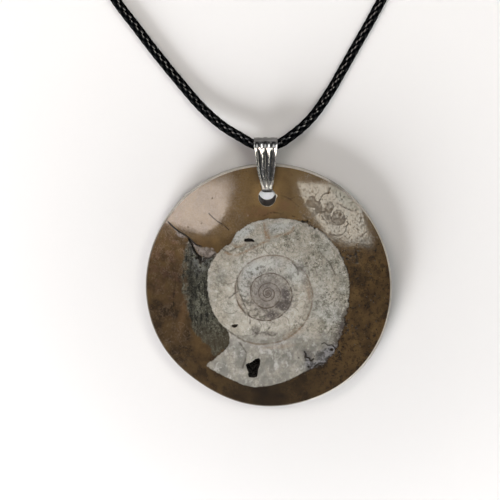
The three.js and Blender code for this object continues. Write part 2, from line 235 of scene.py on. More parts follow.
PIT_SEED, RIM_SEED = 7, 3
# Stains in the shell are (colour, ((x, y, width, height, turn in degrees, strength), ...))
SHELL_MARKS = (
    ((0.07, 0.058, 0.056), (  # dark mineral
        (3.5, -1.4, 1.7, 5.0, 12, 0.95), (2.6, -3.4, 2.6, 1.8, -35, 0.9), (0.8, -5.0, 2.6, 1.8, 10, 0.95),
        (-2.5, -8.2, 1.6, 2.2, 0, 0.6), (0.0, -8.8, 3.2, 0.9, 0, 0.6), (7.3, 1.6, 2.0, 1.2, -30, 0.35),
        (6.5, 4.4, 1.2, 2.6, 30, 0.45), (-3.4, 8.8, 2.8, 1.4, 10, 0.45), (8.4, 12.0, 4.0, 1.0, -32, 0.4),
        (14.6, -8.6, 1.5, 5.0, -12, 0.8), (12.6, -12.6, 3.4, 2.4, 30, 0.6),
        (7.8, -13.2, 2.4, 1.6, -30, 0.7), (-9.4, 3.2, 1.2, 3.4, 8, 0.3), (10.4, -9.0, 1.6, 1.2, 0, 0.5),
    )),
    ((0.25, 0.15, 0.08), (  # rust
        (-0.3, 11.0, 1.2, 3.0, 8, 0.5), (5.2, -8.8, 5.0, 1.6, 25, 0.3), (2.0, -11.6, 6.4, 0.9, 6, 0.25),
        (-5.6, -3.0, 1.0, 4.0, 10, 0.2), (8.0, -0.6, 0.8, 4.0, 6, 0.3),
    )),
)
# Clear bluish calcite, as (x, y, width, height, turn in degrees, strength)
SHELL_BRIGHT = (
    (-3.4, 3.9, 4.4, 3.4, 35, 0.75), (0.6, 5.4, 4.4, 2.4, 0, 0.55), (5.4, 3.6, 3.4, 4.4, 25, 0.7),
    (2.2, 12.4, 5.0, 2.0, 8, 0.7), (-5.4, 11.2, 4.6, 2.4, 35, 0.8), (-4.9, 0.4, 1.8, 4.0, 10, 0.5),
    (10.6, -2.0, 3.0, 7.0, 4, 0.3), (-4.0, 11.9, 3.0, 1.2, 30, 0.5), (13.0, -5.0, 3.0, 5.0, -8, 0.4),
)
FAR = 50.0  # mm, a distance to an outline for what is nowhere near one


# ---------------------------------------------------------------- settings


def length_setting(name, description, value):
    return bpy.props.FloatProperty(
        name=name, description=description, default=value * MM, min=0, unit="LENGTH", precision=5
    )


def colour_setting(name, description, value):
    return bpy.props.FloatVectorProperty(
        name=name, description=description, default=value, size=3, min=0, max=1, subtype="COLOR"
    )


def amount_setting(name, description, value):
    return bpy.props.FloatProperty(name=name, description=description, default=value, min=0, max=1)


class PENDANT_PG_stone(bpy.types.PropertyGroup):
    spacing: length_setting("Grid", "Distance between points of the polished face", 0.27)
    matrix: colour_setting("Limestone", "Brown stone round the shell", (0.094, 0.056, 0.023))
    matrix_dark: colour_setting("Dark limestone", "Darker clouds in the stone", (0.038, 0.023, 0.011))
    shell: colour_setting("Shell", "Calcite that fills the shell", (0.39, 0.36, 0.305))
    chamber: colour_setting("Open chamber", "Green-grey crystals beside the shell", (0.026, 0.025, 0.019))
    edge: colour_setting("Ground edge", "Stone that was ground and not polished", (0.72, 0.67, 0.6))


class PENDANT_PG_bail(bpy.types.PropertyGroup):
    sheet: length_setting("Sheet", "Thickness of the metal", 0.3)
    flute: length_setting("Flute depth", "Height of the pressed ribs", 0.34)
    metal: colour_setting("Metal", "Bright plating", (0.86, 0.85, 0.83))
    roughness: amount_setting("Roughness", "Roughness of the plating", 0.13)


class PENDANT_PG_cord(bpy.types.PropertyGroup):
    diameter: length_setting("Diameter", "Diameter of the cord", 2.0)
    strand_step: length_setting("Strand step", "Distance between strands along the cord", 1.9)
    strands: bpy.props.IntProperty(
        name="Strands", description="Strands that turn each way round the cord", default=6, min=3, max=12
    )
    colour: colour_setting("Colour", "Waxed black fibre", (0.001, 0.0012, 0.0016))


class PENDANT_PG_stage(bpy.types.PropertyGroup):
    distance: length_setting("Distance", "From the camera to the pendant", 450)
    tilt: bpy.props.FloatProperty(
        name="Tilt", description="Lean of the camera from upright", default=math.radians(9), subtype="ANGLE"
    )
    lens: bpy.props.FloatProperty(
        name="Lens", description="Focal length", default=162.95, min=10, max=400, unit="CAMERA"
    )
    floor: colour_setting("Floor", "Pale floor", (0.866, 0.862, 0.874))


class PENDANT_PG_all(bpy.types.PropertyGroup):
    stone: bpy.props.PointerProperty(type=PENDANT_PG_stone)
    bail: bpy.props.PointerProperty(type=PENDANT_PG_bail)
    cord: bpy.props.PointerProperty(type=PENDANT_PG_cord)
    stage: bpy.props.PointerProperty(type=PENDANT_PG_stage)


# ---------------------------------------------------------------- node graphs


class Socket:
    """One output of a node. Expressions on it add the nodes that work them out."""

    def __init__(self, graph, output):
        self.graph = graph
        self.output = output

    def of(self, name):
        return Socket(self.graph, self.output.node.outputs[name])

    def math(self, operation, *values):
        return self.graph.math(operation, self, *values)

    def __add__(self, other):
        return self.math("ADD", other)

    __radd__ = __add__

    def __mul__(self, other):
        return self.math("MULTIPLY", other)

    __rmul__ = __mul__

    def __sub__(self, other):
        return self.math("SUBTRACT", other)

    def __rsub__(self, other):
        return self.graph.math("SUBTRACT", other, self)

    def __truediv__(self, other):
        return self.math("DIVIDE", other)

    def __rtruediv__(self, other):
        return self.graph.math("DIVIDE", other, self)

    def __pow__(self, other):
        return self.math("POWER", other)

    def __abs__(self):
        return self.math("ABSOLUTE")

    def low(self, other):
        return self.math("MINIMUM", other)

    def high(self, other):
        return self.math("MAXIMUM", other)

    def step(self, start, end):
        """0 up to start and 1 from end on, smoothly; start may be above end."""
        if start > end:
            return 1 - self.step(end, start)
        settings = {"interpolation_type": "SMOOTHSTEP"}
        return self.graph.add("ShaderNodeMapRange", settings, {0: self, 1: start, 2: end})

    def ridge(self, width):
        """1 where the value is 0, falling to 0 where it is width away from that."""
        return (1 - abs(self) / width).high(0)


class Graph:
    """Adds nodes to one tree, of a material or of Geometry Nodes."""

    def __init__(self, tree):
        self.tree = tree

    def add(self, kind, settings=(), inputs=(), output=0):
        node = self.tree.nodes.new(kind)
        for name, value in dict(settings).items():
            setattr(node, name, value)
        for name, value in dict(inputs).items():
            self.put(node.inputs[name], value)
        return Socket(self, node.outputs[output]) if node.outputs else node

    def put(self, socket, value):
        if isinstance(value, Socket):
            self.tree.links.new(value.output, socket)
        elif socket.type == "RGBA" and len(value) == 3:
            socket.default_value = (*value, 1)
        else:
            socket.default_value = value

    def math(self, operation, *values):
        return self.add("ShaderNodeMath", {"operation": operation}, enumerate(values))

    def vector(self, operation, *values):
        return self.add("ShaderNodeVectorMath", {"operation": operation}, enumerate(values))

    def mix(self, factor, first, second):
        """A colour from first at factor 0 to second at factor 1."""
        settings = {"data_type": "RGBA", "clamp_factor": True}
        return self.add("ShaderNodeMix", settings, {0: factor, 6: first, 7: second}, output=2)

    def layered(self, colour, *layers):
        """The colour with (factor, colour) layers laid over it in order."""
        for factor, over in layers:
            colour = self.mix(factor, colour, over)
        return colour


class Material(Graph):
    """A material whose patterns are measured in millimetres on the object's own coordinates."""

    def __init__(self, name):
        self.material = bpy.data.materials.new(name)
        self.material.use_nodes = True
        super().__init__(self.material.node_tree)
        self.tree.nodes.clear()
        coordinates = self.add("ShaderNodeTexCoord").of("Object")
        self.place = self.add("ShaderNodeMapping", inputs={0: coordinates, 3: (1 / MM,) * 3})
        parts = self.add("ShaderNodeSeparateXYZ", inputs={0: self.place})
        self.x, self.y, self.z = parts, parts.of("Y"), parts.of("Z")

    def attribute(self, name):
        return self.add("ShaderNodeAttribute", {"attribute_name": name}).of("Fac")

    def noise(self, size, seed=0, detail=3, rough=0.5, place=None, stretch=None):
        """Cloudy noise from 0 to 1 with clouds of about that size in millimetres."""
        at = place or self.place
        if stretch:
            at = self.add("ShaderNodeMapping", inputs={0: at, 3: stretch})
        settings = {"noise_dimensions": "4D"}
        inputs = {"Vector": at, "W": seed * 3.7, "Scale": 1 / size, "Detail": detail, "Roughness": rough}
        return self.add("ShaderNodeTexNoise", settings, inputs)

    def threads(self, size, width, seed=0, detail=3, rough=0.6):
        """1 on thin lines that waver, where cloudy noise passes its middle value."""
        return (self.noise(size, seed, detail, rough) - 0.5).ridge(width)

    def cells(self, size):
        """Distance to the nearest of points that lie about that far apart."""
        return self.add("ShaderNodeTexVoronoi", inputs={"Vector": self.place, "Scale": 1 / size})

    def spot(self, x, y, width, height, turn):
        """1 in the middle of an oval on the face, falling to 0 at its edge."""
        across, up = self.x - x, self.y - y
        c, s = math.cos(math.radians(turn)), math.sin(math.radians(turn))
        along = (across * c + up * s) / (width / 2)
        over = (up * c - across * s) / (height / 2)
        return (along * along + over * over).step(1, 0)

    def bump(self, height, depth, normal=None):
        """A normal from a height of 0 to 1, where 1 stands depth millimetres proud."""
        inputs = {"Height": height, "Distance": depth * MM, "Strength": 1.0}
        if normal:
            inputs["Normal"] = normal
        return self.add("ShaderNodeBump", inputs=inputs)

    def finish(self, inputs):
        shader = self.add("ShaderNodeBsdfPrincipled", inputs=inputs)
        self.add("ShaderNodeOutputMaterial", inputs={"Surface": shader})
        return self.material


# ---------------------------------------------------------------- mesh helpers


def smooth(low, high, x):
    t = np.clip((x - low) / (high - low), 0, 1)
    return t * t * (3 - 2 * t)


def grid_faces(rows, columns, round_rows=False, round_columns=True, start=0):
    """Faces between rows of points; a round direction joins its last points to its first."""
    faces = []
    for i in range(rows if round_rows else rows - 1):
        for j in range(columns if round_columns else columns - 1):
            right = (j + 1) % columns
            below = (i + 1) % rows
            faces.append(
                (start + i * columns + j, start + i * columns + right,
                 start + below * columns + right, start + below * columns + j)
            )
    return faces


class Shape:
    """Points in millimetres and faces, gathered for one mesh."""

    def __init__(self):
        self.points = []
        self.faces = []

    def add(self, points, faces):
        start = len(self.points)
        self.points += [tuple(float(value) for value in point) for point in points]
        self.faces += [tuple(start + corner for corner in face) for face in faces]
        return start

    def mesh(self, name):
        mesh = bpy.data.meshes.new(name)
        scaled = [tuple(value * MM for value in point) for point in self.points]
        mesh.from_pydata(scaled, [], self.faces)
        mesh.validate()
        mesh.shade_smooth()
        return mesh


def in_scene(name, data):
    """A new object in the scene for a mesh, a light or a camera."""
    thing = bpy.data.objects.new(name, data)
    bpy.context.scene.collection.objects.link(thing)
    return thing


def new_piece(mesh, material, slot, *nodes):
    """An object in the scene for a finished mesh, which rides on the body and stands for CAD nodes."""
    piece = in_scene(mesh.name, mesh)
    mesh.materials.clear()
    mesh.materials.append(material)
    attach(piece, BODY)
    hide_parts(*nodes)
    return piece


def point_outwards(mesh):
    """Turns a closed mesh's faces round if they point in."""
    mesh.calc_loop_triangles()
    volume = 0.0
    for triangle in mesh.loop_triangles:
        a, b, c = (mesh.vertices[i].co for i in triangle.vertices)
        volume += a.dot(b.cross(c))
    if volume < 0:
        mesh.flip_normals()


def centripetal(points, spacing):
    """Points along the centripetal curve through the given ones, about spacing apart."""
    given = [Vector(point) for point in points]
    given = [2 * given[0] - given[1], *given, 2 * given[-1] - given[-2]]
    line = []
    for p0, p1, p2, p3 in zip(given, given[1:], given[2:], given[3:]):
        t0, t1, t2 = (math.sqrt((b - a).length) for a, b in ((p0, p1), (p1, p2), (p2, p3)))
        start = ((p1 - p0) / t0 - (p2 - p0) / (t0 + t1) + (p2 - p1) / t1) * t1
        end = ((p2 - p1) / t1 - (p3 - p1) / (t1 + t2) + (p3 - p2) / t2) * t1
        steps = max(1, round((p2 - p1).length / spacing))
        for k in range(steps):
            t = k / steps
            line.append(
                (2 * t**3 - 3 * t**2 + 1) * p1 + (t**3 - 2 * t**2 + t) * start
                + (3 * t**2 - 2 * t**3) * p2 + (t**3 - t**2) * end
            )
    line.append(given[-2])
    return line


def sweep(shape, line, radius, sides, flat=1.0, turns=0.0):
    """Adds a closed tube along a line. radius is a function of the way along, from 0 to 1."""
    count = len(line)
    side = None
    points = []
    for i, point in enumerate(line):
        along = (line[min(i + 1, count - 1)] - line[max(i - 1, 0)]).normalized()
        if side is None:
            side = along.orthogonal()
        side = (side - along * side.dot(along)).normalized()
        over = along.cross(side)
        way = i / (count - 1)
        size = radius(way)
        for j in range(sides):
            angle = 2 * math.pi * j / sides
            turn = 2 * math.pi * turns * way
            u, v = size * math.cos(angle), size * flat * math.sin(angle)
            across, up = u * math.cos(turn) - v * math.sin(turn), u * math.sin(turn) + v * math.cos(turn)
            points.append(point + side * across + over * up)
    faces = grid_faces(count, sides)
    faces.append(tuple(range(sides))[::-1])
    faces.append(tuple((count - 1) * sides + j for j in range(sides)))
    shape.add(points, faces)


def revolve(shape, profile, sides, place):
    """Adds a closed body turned about the X axis from (x, radius) points that start and end on it."""
    x0, y0, z0 = place
    ring = profile[1:-1]
    points = []
    for x, radius in ring:
        for j in range(sides):
            angle = 2 * math.pi * j / sides
            points.append((x0 + x, y0 + radius * math.cos(angle), z0 + radius * math.sin(angle)))
    faces = grid_faces(len(ring), sides)
    first = len(points)
    points += [(x0 + profile[0][0], y0, z0), (x0 + profile[-1][0], y0, z0)]
    last_ring = (len(ring) - 1) * sides
    for j in range(sides):
        right = (j + 1) % sides
        faces.append((first, right, j))
        faces.append((first + 1, last_ring + j, last_ring + right))
    shape.add(points, faces)


def rounded(profile, steps=3, share=0.25):
    """The profile with each inner corner cut to a short curve."""
    points = [Vector(p) for p in profile]
    out = [points[0]]
    for before, corner, after in zip(points, points[1:], points[2:]):
        start, end = corner.lerp(before, share), corner.lerp(after, share)
        for k in range(steps + 1):
            t = k / steps
            out.append(start.lerp(corner, t).lerp(corner.lerp(end, t), t))
    return [tuple(p) for p in [*out, points[-1]]]


# ---------------------------------------------------------------- outlines


def curved(points, closed=True, steps=5):
    """A smooth curve through the points of an outline, as an array."""
    if closed:
        points = [points[-1], *points, points[0], points[1]]
    else:
        points = [points[0], *points, points[-1]]
    p = np.array(points, float)
    t = (np.arange(steps) / steps)[:, None]
    out = []
    for a, b, c, d in zip(p, p[1:], p[2:], p[3:]):
        square, cube = 2 * a - 5 * b + 4 * c - d, 3 * b - a - 3 * c + d
        out.append(0.5 * (2 * b + (c - a) * t + square * t**2 + cube * t**3))
    if not closed:
        out.append(p[-1:])
    return np.concatenate(out)


def to_line(spots, line, closed):
    """Distance from each spot to a line of points."""
    starts = line if closed else line[:-1]
    ends = np.roll(line, -1, axis=0) if closed else line[1:]
    best = np.full(len(spots), FAR)
    for a, b in zip(starts, ends):
        d = b - a
        t = np.clip((spots - a) @ d / max(d @ d, 1e-9), 0, 1)
        best = np.minimum(best, np.linalg.norm(spots - a - t[:, None] * d, axis=1))
    return best


def to_thread(spots, points):
    """Distance to a smooth open line through the points."""
    return to_line(spots, curved(points, closed=False), closed=False)


def inside(spots, outline):
    """Whether each spot is inside a closed outline."""
    x, y = spots[:, 0], spots[:, 1]
    found = np.zeros(len(spots), bool)
    for (xa, ya), (xb, yb) in zip(outline, np.roll(outline, -1, axis=0)):
        if ya != yb:
            found ^= ((ya > y) != (yb > y)) & (x < (xb - xa) * (y - ya) / (yb - ya) + xa)
    return found


def to_outline(spots, points, steps=5):
    """Distance to a closed outline in millimetres, negative inside it."""
    outline = curved(points, steps=steps)
    away = to_line(spots, outline, closed=True)
    return np.where(inside(spots, outline), -away, away)


# ---------------------------------------------------------------- stone


def make_pits():
    """Small pits, as (x, y, radius, depth): scattered in the stone, and dense where it crumbled."""
    random = np.random.default_rng(PIT_SEED)
    pits = []
    outline = curved(SHELL)
    for x, y, spread, count, largest in PIT_CLUSTERS:
        for _ in range(count):
            at = random.normal((x, y), spread)
            radius = largest * random.uniform(0.35, 1)
            pits.append((*at, radius, radius * random.uniform(0.8, 1.4)))
    for start in range(0, len(outline), 3):
        if outline[start][0] > 9 or random.random() < 0.12:
            at = outline[start] + random.normal(0, 0.12, 2)
            radius = random.uniform(0.09, 0.24)
            pits.append((*at, radius, radius * 1.2))
    for _ in range(SCATTERED_PITS):
        angle = random.uniform(0, 2 * math.pi)
        distance = PIT_REACH * math.sqrt(random.random())
        radius = random.uniform(0.08, 0.13)
        pits.append((distance * math.cos(angle), distance * math.sin(angle), radius, radius))
    return [pit for pit in pits if math.hypot(pit[0], pit[1]) < PIT_REACH + 0.2]


class Stone:
    """Heights and outlines of the disc, in millimetres."""

    def __init__(self):
        sagitta = THICKNESS - FACE_EDGE_HEIGHT
        self.curve = (FACE_RADIUS**2 + sagitta**2) / (2 * sagitta)
        self.back_rise = BACK_EDGE_HEIGHT / (BACK_EDGE_RADIUS**2 - BACK_FLAT_RADIUS**2)
        self.pits = make_pits()
        axis = Vector((0, -math.sin(HOLE_LEAN), math.cos(HOLE_LEAN)))
        self.hole_axis = np.array(axis)
        self.hole_up = np.array(axis.cross(Vector((1, 0, 0))))

    def dome(self, spots):
        r = np.hypot(spots[:, 0], spots[:, 1])
        return THICKNESS - self.curve + np.sqrt(self.curve**2 - r**2)

    def back(self, spots):
        r2 = (spots**2).sum(1)
        return np.maximum(self.back_rise * (r2 - BACK_FLAT_RADIUS**2), 0)

    def hollows(self, spots):
        """How far the face is sunk below the dome at each spot."""
        sunk = np.zeros(len(spots))
        wobble = 0.04 * np.sin(spots[:, 0] * 9.1) * np.cos(spots[:, 1] * 7.7)
        for outline, depth in CAVITIES:
            away = to_outline(spots, outline, steps=3) + wobble
            floor = 0.75 + 0.25 * np.sin(spots[:, 0] * 5 + 1) * np.cos(spots[:, 1] * 6)
            sunk = np.maximum(sunk, depth * floor * smooth(0.03, -0.3, away))
        for line, half, depth in CRACKS:
            away = to_thread(spots, line)
            width = half * (0.75 + 0.4 * np.sin(spots[:, 0] * 4.3 + spots[:, 1] * 5.9))
            sunk = np.maximum(sunk, depth * smooth(1.25, 0.3, away / np.maximum(width, 0.02)))
        for x, y, radius, depth in self.pits:
            near = np.flatnonzero((abs(spots[:, 0] - x) < 2 * radius) & (abs(spots[:, 1] - y) < 2 * radius))
            if len(near):
                part = spots[near]
                angle = np.arctan2(part[:, 1] - y, part[:, 0] - x)
                shape = radius * (1 + 0.25 * np.sin(angle * 3 + x * 7) + 0.15 * np.sin(angle * 5 + y * 9))
                away = np.hypot(part[:, 0] - x, part[:, 1] - y) / shape
                sunk[near] = np.maximum(sunk[near], depth * smooth(1.15, 0.35, away))
        return sunk

    def face(self, spots):
        return self.dome(spots) - self.hollows(spots)

    def need(self, spots):
        """Distance to the nearest small feature, where the mesh has to be fine."""
        away = np.full(len(spots), FAR)
        for outline, _ in CAVITIES:
            away = np.minimum(away, np.abs(to_outline(spots, outline, steps=3)))
        for line, half, _ in CRACKS:
            away = np.minimum(away, to_thread(spots, line) - half)
        for x, y, radius, _ in self.pits:
            away = np.minimum(away, np.hypot(spots[:, 0] - x, spots[:, 1] - y) - radius)
        return away

    def ring(self, radius, depth, top):
        """The hole's circle that lies depth under the face, or over the back."""
        height = self.face if top else self.back
        angles = 2 * np.pi * np.arange(HOLE_POINTS) / HOLE_POINTS
        size = np.broadcast_to(radius, HOLE_POINTS)
        base = (
            np.array(HOLE_FRONT)
            + (size * np.cos(angles))[:, None] * np.array((1.0, 0, 0))
            + (size * np.sin(angles))[:, None] * self.hole_up
        )
        slide = np.zeros(HOLE_POINTS)
        for _ in range(12):
            at = base + slide[:, None] * self.hole_axis
            target = height(at[:, :2]) - depth if top else height(at[:, :2]) + depth
            slide += target - at[:, 2]
        return base + slide[:, None] * self.hole_axis

    def shifted(self, points, girdle):
        """Moves points out by the disc's bulge and in by its flat, as the edge was ground."""
        r = np.maximum(np.hypot(points[:, 0], points[:, 1]), 1e-6)
        angle = np.degrees(np.arctan2(points[:, 1], points[:, 0]))

        def lobe(middle, spread):
            away = (angle - middle + 180) % 360 - 180
            return np.exp(-((away / spread) ** 2))

        bulge = (BULGE_FACE + (BULGE_GIRDLE - BULGE_FACE) * girdle) * lobe(BULGE_ANGLE, BULGE_SPREAD)
        shift = (bulge - FLAT_DEPTH * lobe(FLAT_ANGLE, FLAT_SPREAD)) * (r / GIRDLE_RADIUS) ** 4
        out = points.copy()
        out[:, :2] *= (1 + shift / r)[:, None]
        return out


def hexagons(spacing, radius):
    """Points of a triangular grid inside a circle."""
    count = int(radius / spacing) + 2
    row_count = int(1.2 * count)
    columns, rows = np.meshgrid(np.arange(-count, count + 1), np.arange(-row_count, row_count + 1))
    spots = np.stack([(columns + 0.5 * (rows % 2)) * spacing, rows * spacing * math.sqrt(0.75)], axis=-1)
    spots = spots.reshape(-1, 2)
    return spots[np.hypot(spots[:, 0], spots[:, 1]) < radius - 0.6 * spacing]


def filled(rim, hole, spacing, fine, near):
    """Triangles between a round rim and the hole. near gives the distance to what needs fine triangles."""
    radius = np.hypot(rim[:, 0], rim[:, 1]).min()
    coarse = hexagons(spacing, radius)
    middle = hole.mean(0)
    size = np.linalg.norm(hole - middle, axis=1).max()
    keep = np.linalg.norm(coarse - middle, axis=1) > size + 0.5 * spacing
    coarse = coarse[keep]
    spots = [rim, hole]
    if fine:
        away = near(coarse)
        spots.append(coarse[away > FINE_REACH])
        small = hexagons(fine, radius)
        # only the fine points that lie near a feature are tested exactly
        small = small[close_to(small, coarse[away <= FINE_SEARCH], 2 * spacing)]
        beside_hole = np.linalg.norm(small - middle, axis=1) <= size + fine
        small = small[(near(small) <= FINE_REACH) & ~beside_hole]
        spots.append(small)
    else:
        spots.append(coarse)
    spots = np.concatenate(spots)
    edges = [(i, (i + 1) % len(rim)) for i in range(len(rim))]
    edges += [(len(rim) + i, len(rim) + (i + 1) % len(hole)) for i in range(len(hole))]
    found = delaunay_2d_cdt([Vector(spot) for spot in spots], edges, [], 1, 1e-7)
    points = np.array(found[0])
    faces = np.array(found[2])
    centres = points[faces].mean(axis=1)
    faces = faces[~inside(centres, hole)]
    a, b, c = (points[faces[:, k]] for k in range(3))
    turned = (b - a)[:, 0] * (c - a)[:, 1] - (b - a)[:, 1] * (c - a)[:, 0] < 0
    faces[turned] = faces[turned][:, ::-1]
    return points, faces


def close_to(spots, marks, distance):
    """Whether each spot's cell or a cell beside it holds a mark."""
    cells = {(int(x // distance), int(y // distance)) for x, y in marks}
    wide = {(i + di, j + dj) for i, j in cells for di in (-1, 0, 1) for dj in (-1, 0, 1)}
    keys = np.floor(spots / distance).astype(int)
    return np.array([(i, j) in wide for i, j in keys])


def slopes(height, spots, step=0.03):
    """Unit normals of a height over the spots."""
    right, up = np.array((step, 0.0)), np.array((0.0, step))
    dx = (height(spots + right) - height(spots - right)) / (2 * step)
    dy = (height(spots + up) - height(spots - up)) / (2 * step)
    normals = np.stack([-dx, -dy, np.ones(len(spots))], axis=1)
    return normals / np.linalg.norm(normals, axis=1)[:, None]


def girdle_profile():
    """Rings from the face down to the back: (radius, height, 0 at the face to 1 at the girdle)."""
    face_edge = [(FACE_RADIUS - 0.1, 4.68), (FACE_RADIUS - 0.02, 4.62), (FACE_RADIUS + 0.04, 4.54)]
    rings = [(r, z, 0.0) for r, z in face_edge]
    steps = 9
    for i in range(steps + 1):
        way = i / steps
        z = GIRDLE_HIGH + (GIRDLE_LOW + 0.1 - GIRDLE_HIGH) * way
        rings.append((FACE_RADIUS + 0.06 + 0.09 * way + 0.05 * math.sin(math.pi * way), z, way))
    back_edge = [(24.49, 2.27), (24.42, 2.16), (24.3, 2.08), (BACK_EDGE_RADIUS, BACK_EDGE_HEIGHT)]
    return rings + [(r, z, 1.0) for r, z in back_edge]


def make_stone(settings):
    stone = Stone()
    angles = 2 * np.pi * np.arange(RIM_POINTS) / RIM_POINTS
    circle = np.stack([np.cos(angles), np.sin(angles)], axis=1)
    face_radius, back_radius = FACE_RADIUS - 0.19, BACK_EDGE_RADIUS - 0.2

    hole_angles = 2 * np.pi * np.arange(HOLE_POINTS) / HOLE_POINTS
    chip = np.exp(-(((hole_angles - math.radians(8)) / 0.16) ** 2))
    chamfer = 0.07 + 0.02 * np.sin(hole_angles * 5 + 1) + 0.4 * chip
    front_rings = [
        stone.ring(HOLE_RADIUS + wider, depth, True)
        for wider, depth in ((chamfer, 0.0), (0.4 * chamfer, 0.06), (0.0, 0.2))
    ]
    back_rings = [
        stone.ring(HOLE_RADIUS + wider, depth, False)
        for wider, depth in ((0.0, 0.25), (0.08, 0.08), (0.2, 0.0))
    ]
    spacing = settings.spacing / MM
    top, top_faces = filled(
        circle * face_radius, front_rings[0][:, :2], spacing, FINE_SPACING, stone.need
    )
    low, low_faces = filled(circle * back_radius, back_rings[-1][:, :2], 2 * spacing, 0, None)

    shape = Shape()
    polish, sunk, spots, normals = [], [], [], []

    def put(points, girdle, shine, face_spots=None, normal=None, depth=0.0):
        """Adds points and what the material has to know about them, and returns the first's number."""
        points = stone.shifted(np.asarray(points, float), np.asarray(girdle, float))
        first = shape.add(points, [])
        count = len(points)
        polish.append(np.broadcast_to(shine, count))
        sunk.append(np.broadcast_to(depth, count))
        spots.append(np.full((count, 2), FAR) if face_spots is None else face_spots)
        normals.append(np.zeros((count, 3)) if normal is None else normal)
        return first

    top_z = stone.face(top)
    top_first = put(
        np.column_stack([top, top_z]), 0.0, 1.0, top, slopes(stone.face, top), stone.hollows(top)
    )
    shape.faces += [tuple(int(top_first + c) for c in face) for face in top_faces]
    low_first = put(np.column_stack([low, stone.back(low)]), 1.0, 0.72, None, -slopes(stone.back, low))
    shape.faces += [tuple(int(low_first + c) for c in face[::-1]) for face in low_faces]

    rough = np.random.default_rng(RIM_SEED)
    ring_firsts = [top_first]
    for radius, height, way in girdle_profile():
        jitter = rough.normal(0, 0.012, RIM_POINTS) if 0 < way <= 1 else 0
        outer = circle * (radius + np.reshape(jitter, (-1, 1)))
        points = np.column_stack([outer, np.full(RIM_POINTS, height)])
        ring_firsts.append(put(points, np.full(RIM_POINTS, way), 0.0))
    ring_firsts.append(low_first)
    join(shape, ring_firsts, RIM_POINTS)

    # the hole's wall gets a depth, which the material paints dark as painted shade
    wall = [put(front_rings[1], 0.0, 0.25), put(front_rings[2], 0.0, 0.2, depth=0.16)]
    steps = 7
    for i in range(1, steps):
        way = i / steps
        ring = front_rings[-1] * (1 - way) + back_rings[0] * way
        wall.append(put(ring, 0.0, 0.2, depth=0.2))
    wall += [put(ring, 1.0, 0.2) for ring in back_rings[:-1]]
    join(shape, [top_first + RIM_POINTS, *wall, low_first + RIM_POINTS], HOLE_POINTS, reverse=True)

    mesh = shape.mesh("ammonite_disc")
    where = np.concatenate(spots)
    on_face = where[:, 0] < FAR / 2
    fields = {"polish": np.concatenate(polish), "sunk": np.concatenate(sunk)}
    for name, away in face_distances(where[on_face]).items():
        fields[name] = np.full(len(where), FAR)
        fields[name][on_face] = away
    for name, values in fields.items():
        attribute = mesh.attributes.new(name, "FLOAT", "POINT")
        attribute.data.foreach_set("value", values.astype(np.float32))

    set_normals(mesh, np.concatenate(normals), (top_first, low_first))
    return mesh


def face_distances(spots):
    """How far each spot of the polished face is from what shows there, negative inside an outline."""
    dull = [to_outline(spots, outline) for outline in DULL_PATCHES]
    dull += [to_thread(spots, line) - DULL_LINE_HALF for line in DULL_LINES]
    distances = {
        "shell": to_outline(spots, SHELL),
        "chamber": to_outline(spots, CHAMBER),
        "vein": to_outline(spots, VEIN),
        "grey_patch": to_outline(spots, GREY_PATCH),
        "dull": np.min(dull, axis=0),
        "crack": np.min([to_thread(spots, line) - half for line, half, _ in CRACKS], axis=0),
    }
    for name, lines in (
        ("rust_line", RUST_LINES), ("dark_line", DARK_LINES), ("stone_line", STONE_LINES),
    ):
        distances[name] = np.min([to_thread(spots, line) for line in lines], axis=0)
    return distances


def set_normals(mesh, exact, rims):
    """Gives the mesh the exact normals where there are some, but not on the rims, where surfaces meet."""
    own = np.zeros(len(mesh.vertices) * 3)
    mesh.vertex_normals.foreach_get("vector", own)
    own = own.reshape(-1, 3)
    known = np.linalg.norm(exact, axis=1) > 0.5
    for first in rims:
        known[first:first + RIM_POINTS] = False
    own[known] = exact[known]
    mesh.normals_split_custom_set_from_vertices([tuple(normal) for normal in own])


def join(shape, firsts, count, reverse=False):
    """Faces between rings of points, each given by its first point's number."""
    for upper, lower in zip(firsts, firsts[1:]):
        for i in range(count):
            right = (i + 1) % count
            face = (upper + i, lower + i, lower + right, upper + right)
            shape.faces.append(face[::-1] if reverse else face)


# Colours in the stone, as linear light
OCHRE = (0.158, 0.098, 0.038)
TAN_STREAK = (0.16, 0.09, 0.042)
GOLD_BITS = (0.16, 0.1, 0.045)
PALE_GRAINS = (0.23, 0.17, 0.09)
RUSTY_CLOUD = (0.15, 0.075, 0.035)
RED_CLOUD = (0.17, 0.09, 0.06)
GREY_VEIL = (0.2, 0.15, 0.11)
PALE_THREADS = (0.27, 0.2, 0.15)
CRUMBS = (0.022, 0.014, 0.008)
BLACK_BITS = (0.01, 0.007, 0.005)
BLACK_SPECKS = (0.012, 0.008, 0.006)
FAINT_LINE = (0.03, 0.018, 0.01)
LOW_SHADE = (0.009, 0.007, 0.006)
VEIN_BROWN = (0.11, 0.09, 0.075)
VEIN_PINK = (0.25, 0.215, 0.195)
VEIN_STAIN = (0.06, 0.045, 0.035)
SLATE_DARK = (0.035, 0.033, 0.035)
SLATE_PALE = (0.19, 0.187, 0.195)
SHELL_RIM = (0.02, 0.012, 0.008)
CRACK_DARKENING = (0.015, 0.01, 0.007)
PIT_SHADE = (0.02, 0.012, 0.006)
HOLLOW_SHADE = (0.008, 0.006, 0.004)
EDGE_STAIN = (0.22, 0.16, 0.1)
EDGE_BROWN = (0.06, 0.043, 0.026)
EDGE_LOW_SHADE = (0.2, 0.185, 0.165)
DULL_GREY = (0.05, 0.048, 0.044)
OLIVE_RIM = (0.055, 0.048, 0.02)
